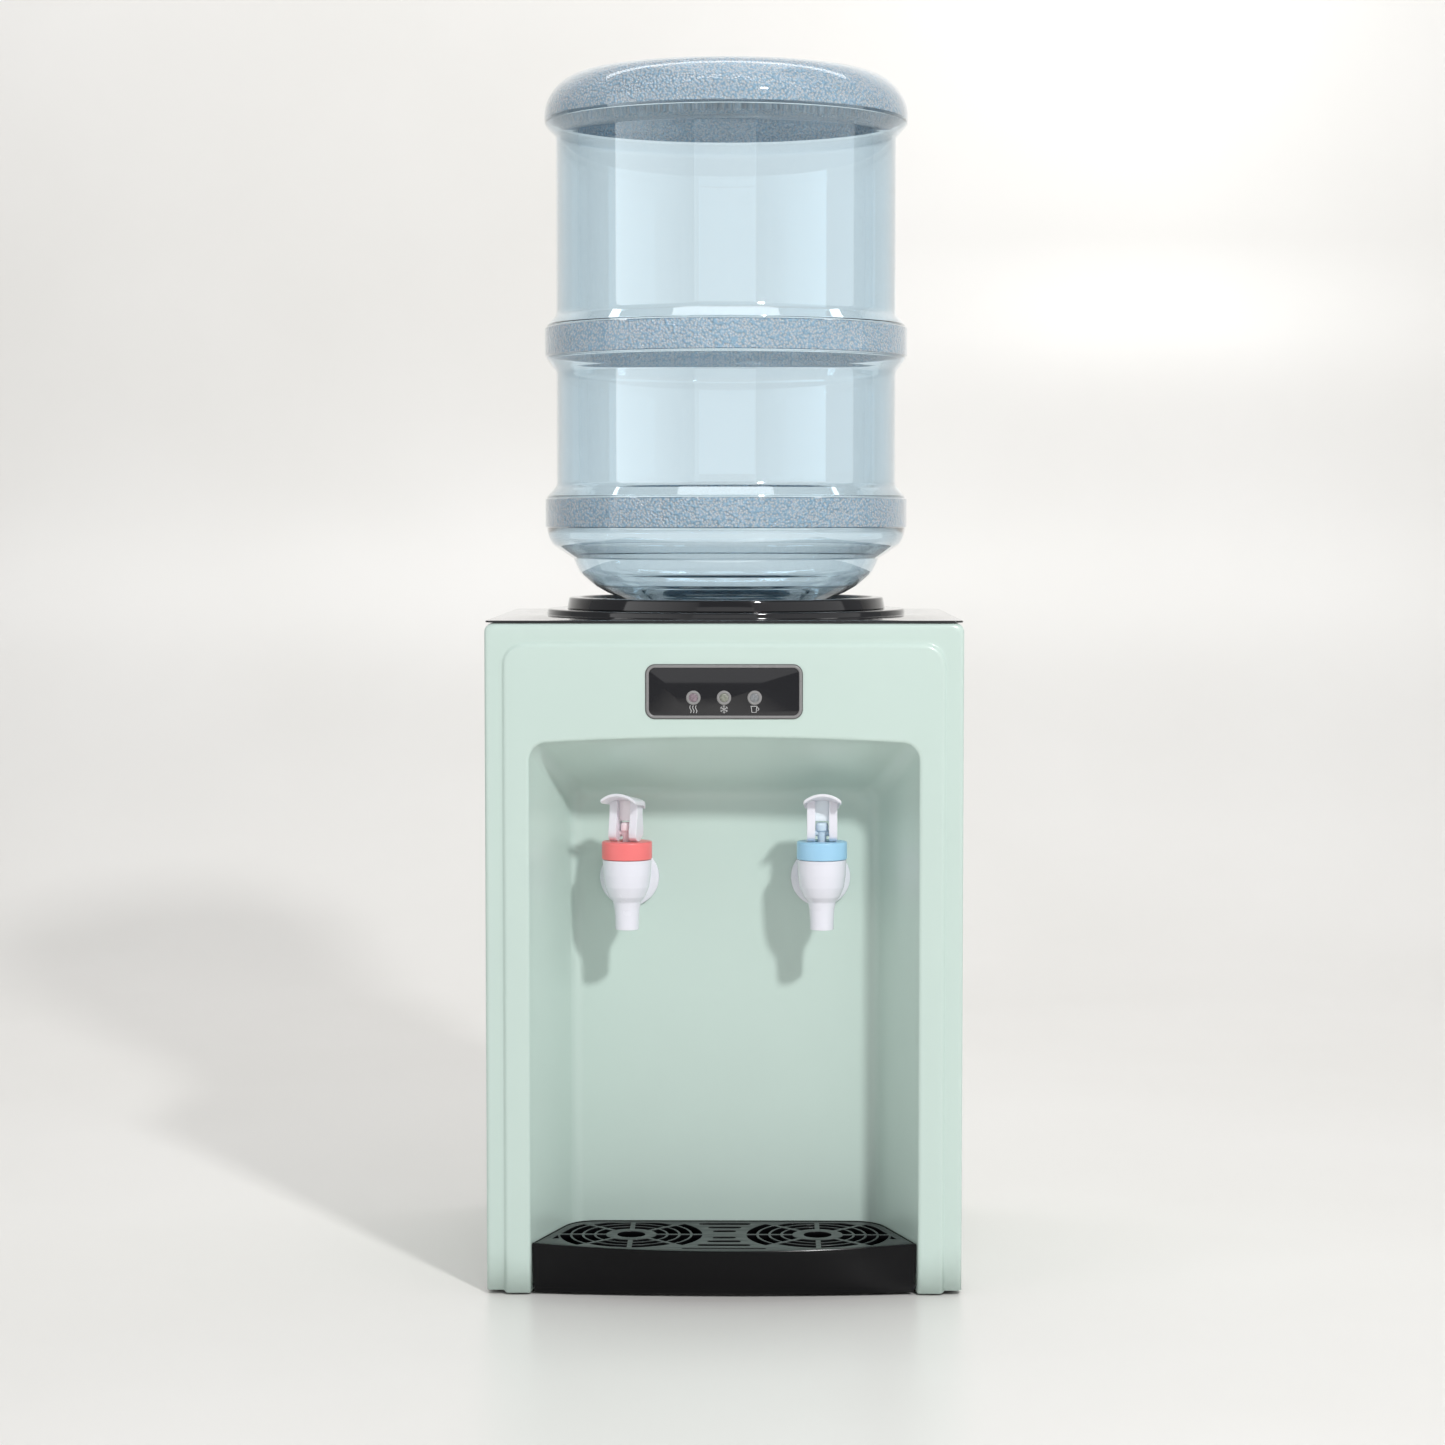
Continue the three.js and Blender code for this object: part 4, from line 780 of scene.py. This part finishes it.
def build_display():
    """The display's rounded frame with a dark ring of painted shade round it, its black glass, the lamps and
    the icons.
    """
    low, high = node_box("display_bezel")
    half, rise = (high.x - low.x) / 2, (high.z - low.z) / 2
    # A thin ring round the frame, its dark grey painted shade for the shadow gap.
    face_ring("display_bezel_shade_ring", (half, rise), (half - 0.7, rise - 0.7), 6.6,
              [(0, 0), (0, 0.35), (0.25, 0.55), (0.9, 0.55), (1, 0.35), (1, 0)], BEZEL_SHADE_EDGE)
    face_ring("display_bezel_frame", (half - 0.6, rise - 0.6), (half - 2.5, rise - 2.5), 6.0,
              [(0, 0), (0, 0.8), (0.12, 1.15), (0.35, 1.38), (0.65, 1.38), (0.88, 1.15), (1, 0.8), (1, 0)],
              BEZEL_GREY, ("display_bezel",))
    loops = []
    for inset, proud in ((2.5, 0.02), (2.5, 0.7), (2.65, 0.92), (3.0, DISPLAY_GLASS)):
        outline = rectangle_loop(half - inset, low.z + inset, high.z - inset, 6.6 - inset, 10, 4)
        loops.append([(x, PLATEAU_FACE - proud, z) for x, z in outline])
    finish_mesh("display_panel_glass", skinned(loops, caps=True), [BLACK_GLOSS], "cabinet",
                ("display_panel",))
    for name, lens in LENSES.items():
        build_lamp(name, lens)
    build_icons()


def build_lamp(name, lens):
    """A lamp's raised ring and its domed lens."""
    low, high = node_box(name)
    centre = ((low.x + high.x) / 2, (low.z + high.z) / 2)
    face = PLATEAU_FACE - DISPLAY_GLASS
    ring = rounded([
        (3.0, face + 0.6), (3.0, face - 0.25, 0.2), (3.45, face - 0.62, 0.3), (4.35, face - 0.62, 0.3),
        (4.8, face - 0.1, 0.15), (4.8, face + 0.6), (3.0, face + 0.6),
    ], 4)
    turned_piece(f"{name}_ring", ring, centre, 64, LAMP_RING, "cabinet", axis="y")
    dome = [(3.05 * math.sin(a), face + 0.15 - 0.75 * math.cos(a)) for a in np.linspace(0, math.pi / 2, 9)]
    dome += [(3.05, face + 0.6), (0, face + 0.6)]
    turned_piece(f"{name}_lens", dome, centre, 48, lens, "cabinet", (name,), axis="y")


def flat_marks(name, strokes):
    """Thin raised marks on the display's glass; each stroke is a list of (x, z) and a half width."""
    bm = bmesh.new()
    face, proud = PLATEAU_FACE - DISPLAY_GLASS, 0.06
    for points, half in strokes:
        left, right = [], []
        for i, point in enumerate(points):
            before, after = points[max(0, i - 1)], points[min(len(points) - 1, i + 1)]
            along = Vector((after[0] - before[0], after[1] - before[1])).normalized()
            left.append((point[0] - along.y * half, point[1] + along.x * half))
            right.append((point[0] + along.y * half, point[1] - along.x * half))
        loops = []
        for (lx, lz), (rx, rz) in zip(left, right):
            loops.append([(lx, face, lz), (lx, face - proud, lz), (rx, face - proud, rz), (rx, face, rz)])
        skin(bm, loops, around=True, caps=True)
    finish_mesh(name, bm, [ICON_GREY], "cabinet")


def build_icons():
    """Generic marks under the lamps: rising heat, a snow crystal and a cup."""
    places = {name: sum(corner.x for corner in node_box(name)) / 2 for name in LENSES}
    middle = node_box("display_panel")[0].z + 4.1
    x = places["hot_lamp"]
    heat = []
    for offset in (-1.9, 0, 1.9):
        wave = [(x + offset + 0.45 * math.sin(t * 2 * math.pi), middle + 5.0 * (t - 0.5))
                for t in np.linspace(0, 1, 15)]
        heat.append((wave, 0.24))
    flat_marks("heat_mark", heat)
    x = places["cold_lamp"]
    crystal = []
    for arm in range(6):
        a = math.radians(30 + 60 * arm)
        tip = (x + 2.7 * math.cos(a), middle + 2.7 * math.sin(a))
        fork = (x + 1.6 * math.cos(a), middle + 1.6 * math.sin(a))
        crystal.append(([(x, middle), tip], 0.22))
        for spur in (-1, 1):
            b = a + spur * math.radians(48)
            crystal.append(([fork, (fork[0] + math.cos(b), fork[1] + math.sin(b))], 0.18))
    flat_marks("cold_mark", crystal)
    x = places["warm_lamp"]
    rise, sink = middle + 1.9, middle - 2.1
    bowl = [(x - 2.3, rise), (x - 1.8, sink), (x + 1.0, sink), (x + 1.5, rise)]
    brim = [(x - 2.7, middle + 2.0), (x + 1.9, middle + 2.0)]
    handle = [(x + 1.5 + 1.3 * math.sin(t), middle + 0.1 + math.cos(t)) for t in np.linspace(0.1, 2.9, 9)]
    flat_marks("warm_mark", [(bowl, 0.24), (brim, 0.22), (handle, 0.2)])


# ---- drip tray and grille

def tray_outline(bulge, inset, narrower=0.0):
    """The tray in plan, closed, anticlockwise from the front left corner."""
    slope = (RECESS["front"] - RECESS["back"]) / (RECESS_BACK - BORDER_FACE)
    front_half = RECESS["front"] - TRAY["side"] - inset - narrower
    front = BORDER_FACE + min(inset, 1.5)
    back = TRAY["back"] - inset

    def half_at(y):
        return front_half - slope * (y - BORDER_FACE)

    points = []
    for i in range(41):
        t = i / 40
        x = -front_half + 2 * front_half * t
        points.append((x, front - 4 * (bulge - inset) * t * (1 - t)))
    corner = TRAY["corner"]
    start = (half_at(back - corner), back - corner)
    end = (half_at(back) - corner, back)
    right = between((front_half, front), start, 8) + quadratic(start, (half_at(back), back), end, 10)
    points += right
    points += between(end, (-end[0], back), 20)
    points += [(-x, y) for x, y in reversed(right)]
    return points


def build_tray():
    """A gloss tray: a curved skirt in front, a ledge for the grille and a shallow basin."""
    low, top = TRAY_LOW, TRAY_TOP
    under, ledge, basin = 7.1, TRAY_TOP - 3.7, 9.4

    def level(z, inset):
        share = (z - low) / (top - low)
        bulge = TRAY["bulge_bottom"] + (TRAY["bulge_top"] - TRAY["bulge_bottom"]) * share
        return tray_outline(bulge, inset, 1.5 * (1 - share))

    def foot(y, extra):
        t = min(1.0, max(0.0, (y - (BORDER_FACE + 1.4)) / 2.4))
        return (low + extra) * (1 - t) + (under + extra) * t

    def lowest(inset, extra):
        return [(x, y, foot(y, extra)) for x, y in level(low, inset)]

    def at(z, inset):
        return [(x, y, z) for x, y in level(z, inset)]

    loops = [at(under, 40), at(under, 4)]
    loops += [lowest(*step) for step in ((2.6, 0.3), (2.2, 0), (0.9, 0), (0.25, 0.3), (0, 0.9))]
    skirt = [(12, 0), (18, 0), (24, 0), (30, 0), (top - 1.6, 0)]
    lip = [(top - 0.7, 0.05), (top - 0.2, 0.3), (top, 0.8), (top, 1.2), (top - 0.15, 1.5), (top - 0.6, 1.6)]
    inside_wall = [(ledge, 1.6), (ledge, 3.6), (ledge - 0.4, 4.0), (basin + 2, 4.4), (basin + 0.5, 5)]
    loops += [at(*step) for step in skirt + lip + inside_wall + [(basin, 6.5), (basin, 40)]]
    finish_mesh("drip_tray_shell", skinned(loops, caps=True), [BLACK_TRAY], "tray",
                ("drip_tray",))


def clip_outline(points, limit):
    """Pulls the points of a slot in so that it stays inside a limit outline."""
    return [tuple(p if inside(p, limit) else nearest_on(p, limit)) for p in map(Vector, points)]


def inside(p, polygon):
    """Whether a point is inside a polygon, by how many edges a line from it crosses."""
    hit = False
    for a, b in zip(polygon, polygon[1:] + polygon[:1]):
        if (a.y > p.y) != (b.y > p.y) and p.x < (b.x - a.x) * (p.y - a.y) / (b.y - a.y) + a.x:
            hit = not hit
    return hit


def nearest_on(p, polygon):
    """The point of a polygon's edges that is nearest to p."""
    best, best_distance = None, 1e9
    for a, b in zip(polygon, polygon[1:] + polygon[:1]):
        ab = b - a
        t = min(1.0, max(0.0, (p - a).dot(ab) / max(ab.length_squared, 1e-9)))
        q = a + ab * t
        distance = (p - q).length
        if distance < best_distance:
            best, best_distance = q, distance
    return best


def slot_outline(x0, x1, y, width):
    """A straight slot with round ends."""
    r = width / 2
    return arc((x1 - r, y), r, -90, 90, 6) + arc((x0 + r, y), r, 90, 270, 6)


def ring_slot(centre_x, inner, outer, middle, half_span):
    """A ring slot between two spokes."""
    trim_out = half_span - math.degrees(math.asin(GRILLE["spoke"] / 2 / outer))
    trim_in = half_span - math.degrees(math.asin(GRILLE["spoke"] / 2 / inner))
    outline = arc((centre_x, TAP_Y), outer, middle - trim_out, middle + trim_out, 10)
    outline += arc((centre_x, TAP_Y), inner, middle + trim_in, middle - trim_in, 8)
    return outline


def round_corners(points, radius):
    """Rounds the sharp corners of a closed outline."""
    result = []
    count = len(points)
    for i in range(count):
        before, here, after = Vector(points[i - 1]), Vector(points[i]), Vector(points[(i + 1) % count])
        back, ahead = before - here, after - here
        if back.length < 1e-4 or ahead.length < 1e-4:
            continue
        if back.angle(ahead) > math.radians(140):
            result.append(tuple(here))
            continue
        cut_back, cut_ahead = min(radius, back.length * 0.45), min(radius, ahead.length * 0.45)
        start, end = here + back.normalized() * cut_back, here + ahead.normalized() * cut_ahead
        result += quadratic(start, here, end, 4)
    return result


def area_of(points):
    """The area inside a closed outline, negative when it runs clockwise."""
    return sum(a[0] * b[1] - b[0] * a[1] for a, b in zip(points, points[1:] + points[:1])) / 2


def grille_holes():
    """Outlines of every hole: ring slots under the taps, a short one at each side, slats between."""
    edge, width = GRILLE["edge"], GRILLE["slot"]
    beyond = GRILLE["first"] + GRILLE["rings"] * GRILLE["pitch"]
    holes = []
    for side in (-1, 1):
        centre_x = side * GRILLE["centre_x"]
        holes.append(arc((centre_x, TAP_Y), GRILLE["hole"] + edge, 0, 350, 35))
        for ring in range(GRILLE["rings"]):
            inner = GRILLE["first"] + ring * GRILLE["pitch"]
            for spoke in range(8):
                middle = 22.5 + 45 * spoke
                faces_side = abs(math.cos(math.radians(middle))) > abs(math.sin(math.radians(middle)))
                if ring < GRILLE["rings"] - 1 or faces_side:
                    shape = ring_slot(centre_x, inner - edge, inner + width + edge, middle, 22.5)
                    holes.append(round_corners(shape, 1.3))
        middle = -GRILLE["corner_angle"] if side > 0 else 180 + GRILLE["corner_angle"]
        shape = ring_slot(centre_x, beyond - edge, beyond + width - 0.6 + edge, middle, 7.4)
        holes.append(round_corners(shape, 1.3))
    for offset in GRILLE["slats"]:
        half = GRILLE["centre_x"] - math.sqrt((beyond + 5.8) ** 2 - offset ** 2)
        holes.append(slot_outline(-half, half, TAP_Y + offset, 5.9))
    return holes


def filled_plate(outlines, thickness, edge):
    """A flat plate with softened edges from its outline and its holes, centred on height 0."""
    data = bpy.data.curves.new("plate_outline", "CURVE")
    data.dimensions = "2D"
    data.fill_mode = "BOTH"
    data.extrude = (thickness / 2 - edge) * MM
    data.bevel_depth = edge * MM
    data.bevel_resolution = 2
    for points in outlines:
        spline = data.splines.new("POLY")
        spline.points.add(len(points) - 1)
        for target, (x, y) in zip(spline.points, points):
            target.co = (x * MM, y * MM, 0, 1)
        spline.use_cyclic_u = True
    holder = bpy.data.objects.new("plate_outline", data)
    bpy.context.scene.collection.objects.link(holder)
    bpy.context.view_layer.update()
    mesh = bpy.data.meshes.new_from_object(holder.evaluated_get(bpy.context.evaluated_depsgraph_get()))
    bpy.data.objects.remove(holder)
    bm = bmesh.new()
    bm.from_mesh(mesh)
    bpy.data.meshes.remove(mesh)
    bmesh.ops.scale(bm, vec=(1 / MM, 1 / MM, 1 / MM), verts=bm.verts)
    return bm


def build_grille():
    """The slotted plate, satin on top; its slot walls take the darker, glossier tray material, painted shade
    in the slots.
    """
    edge, thickness = GRILLE["edge"], GRILLE["thickness"]
    limit = [Vector(p) for p in tray_outline(TRAY["bulge_top"], 7.2)]
    outlines = [tray_outline(TRAY["bulge_top"], 1.9 + edge)]
    for hole in grille_holes():
        clipped = clip_outline(hole, limit)
        kept = [p for i, p in enumerate(clipped) if (Vector(p) - Vector(clipped[i - 1])).length > 0.15]
        if len(kept) > 5 and abs(area_of(kept)) > SMALLEST_HOLE:
            outlines.append(kept)
    bm = filled_plate(outlines, thickness, edge)
    # Faces that don't face up, the slot walls, get the darker tray material: painted shade in the slots.
    for face in bm.faces:
        face.material_index = 0 if face.normal.z > 0.3 else 1
    bmesh.ops.translate(bm, vec=(0, 0, node_box("drip_grille")[1].z - thickness / 2), verts=bm.verts)
    finish_mesh("drip_grille_plate", bm, [BLACK_GRILLE, BLACK_TRAY], "grille",
                ("drip_grille",), weld=0.0001, angle=30)


# ---- taps

TAPS = [  # turn is how far the lever faces away from straight ahead, in degrees
    {"name": "hot", "side": -1, "turn": -20, "slot": "hot_red",
     "ring": HOT_RED, "web": HOT_WEB, "stem": HOT_STEM},
    {"name": "cold", "side": 1, "turn": 0, "slot": "cold_blue",
     "ring": COLD_BLUE, "web": COLD_WEB, "stem": COLD_STEM},
]


def tap_piece(tap, part, bm, material, cad_part=None, moving=None):
    """Makes a piece drawn about the tap's axis; a moving one faces the lever's way and rides its body."""
    name = tap["name"]
    facing = Matrix.Rotation(math.radians(tap["turn"] if moving else 0), 4, "Z")
    place = Matrix.Translation((tap["side"] * TAP_X, TAP_Y, 0)) @ facing
    bmesh.ops.transform(bm, matrix=place, verts=bm.verts)
    body = f"{name}_{moving}" if moving else "cabinet"
    replaced = (f"{name}_{cad_part}",) if cad_part else ()
    return finish_mesh(f"{name}_{part}", bm, [material], body, replaced)


def tap_body(tap):
    """The bowl with its spout, and the pipe with its wall flange."""
    bowl = rounded([
        (5.5, 262), (5.5, 244, 0.3), (8, 244, 0.5), (8.05, 250), (8.5, 257.5, 6), (9.6, 263, 3),
        (12.4, 266.6, 3), (15, 273.2, 6), (16.2, 281.5, 8), (16.6, 290.8, 0.4), (16.6, 291.7, 0.3),
        (13.2, 291.7), (13.2, 299, 0.3), (11, 299, 0.3), (11, 270), (7, 264), (5.5, 262),
    ], 6)
    tap_piece(tap, "tap_bowl", turned(bowl), TAP_WHITE, cad_part="tap_body")
    wall, radius = RECESS_BACK - TAP_Y, TAP["flange_radius"]
    pipe = rounded([
        (0, 14), (9, 14), (9, wall - 7, 3.5), (12, wall - 4.8, 2.5), (radius - 3, wall - 4, 2),
        (radius, wall - 2.6, 1.2), (radius, wall - 0.3, 0.2), (8, wall - 0.3), (8, wall + 14, 0.5),
        (4.2, wall + 14, 0.5), (4.2, wall + 26, 0.4), (0, wall + 26),
    ], 6)
    tap_piece(tap, "tap_flange", turned(pipe, (0, TAP["pipe_height"]), axis="y"), TAP_WHITE)


def tap_ring(tap):
    """The coloured ring nut over the bowl."""
    profile = rounded([
        (5.4, 301.5), (13.5, 301.5), (13.5, 292), (16.5, 292, 0.3), (17, 292.6, 0.4), (17, 304, 1.2),
        (5.4, 304, 0.3), (5.4, 301.5),
    ])
    tap_piece(tap, "tap_collar", turned(profile), tap["ring"], "tap_ring")


def tap_stem(tap):
    """The valve stem with its cross pin."""
    rod = rounded([
        (0, 268), (3, 268), (3, 276), (8.5, 276), (8.5, 278), (3, 278), (3, 310.5, 0.6), (4.3, 311.5, 0.6),
        (4.3, 315.5, 0.8), (3.2, 316.8, 0.6), (0, 316.8),
    ], 4)
    tap_piece(tap, "stem_rod", turned(rod, steps=48), tap["stem"], cad_part="valve_stem", moving="stem")
    reach, pivot = LEVER["half_width"] - 0.4, LEVER["pivot"]
    pin = [(0, -reach), (1.5, -reach), (2, -reach + 0.5), (2, reach - 0.5), (1.5, reach), (0, reach)]
    angles = np.linspace(0, 2 * math.pi, 24, False)
    loops = [[(x, r * math.cos(a), pivot + r * math.sin(a)) for a in angles] for r, x in pin]
    tap_piece(tap, "stem_pin", skinned(loops), tap["stem"], moving="stem")


def tap_spring(tap):
    """The return spring in the bowl, a fixed coil with a mesh of its own; in the tap its top end is held and
    the rising stem shortens it.
    """
    low, high = node_box(f"{tap['name']}_tap_spring")
    gauge, turns, points = 0.6, 5, 240
    radius, length = (high.x - low.x) / 2 - gauge, high.z - low.z
    loops = []
    for i in range(points + 1):
        angle = 2 * math.pi * turns * i / points
        middle = low.z + gauge + (length - 2 * gauge) * i / points
        out = Vector((math.cos(angle), math.sin(angle), 0))
        loops.append([out * (radius + gauge * math.cos(b)) + Vector((0, 0, middle + gauge * math.sin(b)))
                      for b in np.linspace(0, 2 * math.pi, 10, False)])
    coil = tap_piece(tap, "spring_coil", skinned(loops, caps=True), STEEL, "tap_spring")
    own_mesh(coil)


def lever_cheek_outline():
    """Side view of a cheek as (y, z): a round cam foot under a straight shank."""
    pivot, cam, hub = LEVER["pivot"], LEVER["cam"], LEVER["hub"]
    outline = arc((-cam, pivot), LEVER["foot_radius"], -158, -45, 16)
    outline += rounded([
        (0, pivot - 3.6), (hub, pivot - 1.5, 1), (hub, pivot + 4, 3), (3.2, 323, 6), (4, 332),
    ])
    outline += rounded([(-6, 332), (-6.4, 322, 8), (-cam - LEVER["foot_radius"] + 0.6, pivot + 2)], 8)
    return outline


def lever_part(tap, part, outline, x0, x1, material, cad_part=None, width=1.1):
    """A part of the lever that keeps one outline all the way across."""
    bm = skinned([[(x, y, z) for y, z in outline] for x in (x0, x1)], caps=True)
    piece = tap_piece(tap, f"lever_{part}", bm, material, cad_part=cad_part, moving="lever")
    soften(piece, width, 4, angle=50)


def pad_top(y):
    """Height of the pad's centre line: round at the back, then rising to the front edge."""
    start = 1.0
    if y > start:
        t = (y - start) / (LEVER["pad_back"] - start)
        return LEVER["pad_low"] - 3.4 * t ** 2.2
    t = (start - y) / (start - LEVER["pad_front"])
    return LEVER["pad_low"] + (LEVER["top"] - LEVER["pad_low"]) * t


def lever_pad(tap):
    """The thumb pad: crowned across, thin at its front lip."""
    across, along = 24, 20
    crown, back, front = LEVER["pad_crown"], LEVER["pad_back"], LEVER["pad_front"]
    top_rows, under_rows = [], []
    for y in np.linspace(back, front, along + 1):
        forward = (back - y) / (back - front)
        width = LEVER["pad_half_width"] - 16.5 * max(0.0, forward - 0.8) ** 2 - 1.2 * (1 - forward) ** 4
        thickness = 3.4 - 1.3 * forward
        xs = [width * (2 * i / across - 1) for i in range(across + 1)]
        drops = [(crown - math.sqrt(crown ** 2 - x ** 2)) * (0.6 + 0.4 * forward) for x in xs]
        top_rows.append([(x, y, pad_top(y) - drop) for x, drop in zip(xs, drops)])
        under_rows.append([(x * 0.985, y, pad_top(y) - drop - thickness) for x, drop in zip(xs, drops)])
    bm = bmesh.new()
    skin(bm, top_rows)
    skin(bm, under_rows)

    def rim(rows):
        right, left = [row[-1] for row in rows[1:]], [row[0] for row in rows[-2:0:-1]]
        return rows[0] + right + rows[-1][-2::-1] + left

    skin(bm, [rim(top_rows), rim(under_rows)], around=True)
    soften(tap_piece(tap, "lever_pad", bm, LEVER_WHITE, moving="lever"), 0.6, 3, angle=45)


def build_tap(tap):
    tap_body(tap)
    tap_ring(tap)
    tap_stem(tap)
    tap_spring(tap)
    cheek = lever_cheek_outline()
    outer, inner = LEVER["half_width"], LEVER["slot"]
    lever_part(tap, "cheek_left", cheek, -outer, -inner, LEVER_WHITE, "tap_lever")
    lever_part(tap, "cheek_right", cheek, inner, outer, LEVER_WHITE)
    panel = [(-2.2, 318), (2.6, 318), (3.0, 332.4), (-2.2, 332.4)]
    lever_part(tap, "web", panel, -inner - 0.6, inner + 0.6, tap["web"], width=0.4)
    lever_pad(tap)


# ---- assembly

build_camera()
build_stage()
build_lights()
set_view()
build_front_panel()
build_sides()
build_feet()
build_top_cover()
build_seat()
build_bottle()
build_display()
build_tray()
build_grille()
for each_tap in TAPS:
    build_tap(each_tap)
dress_cad_nodes()
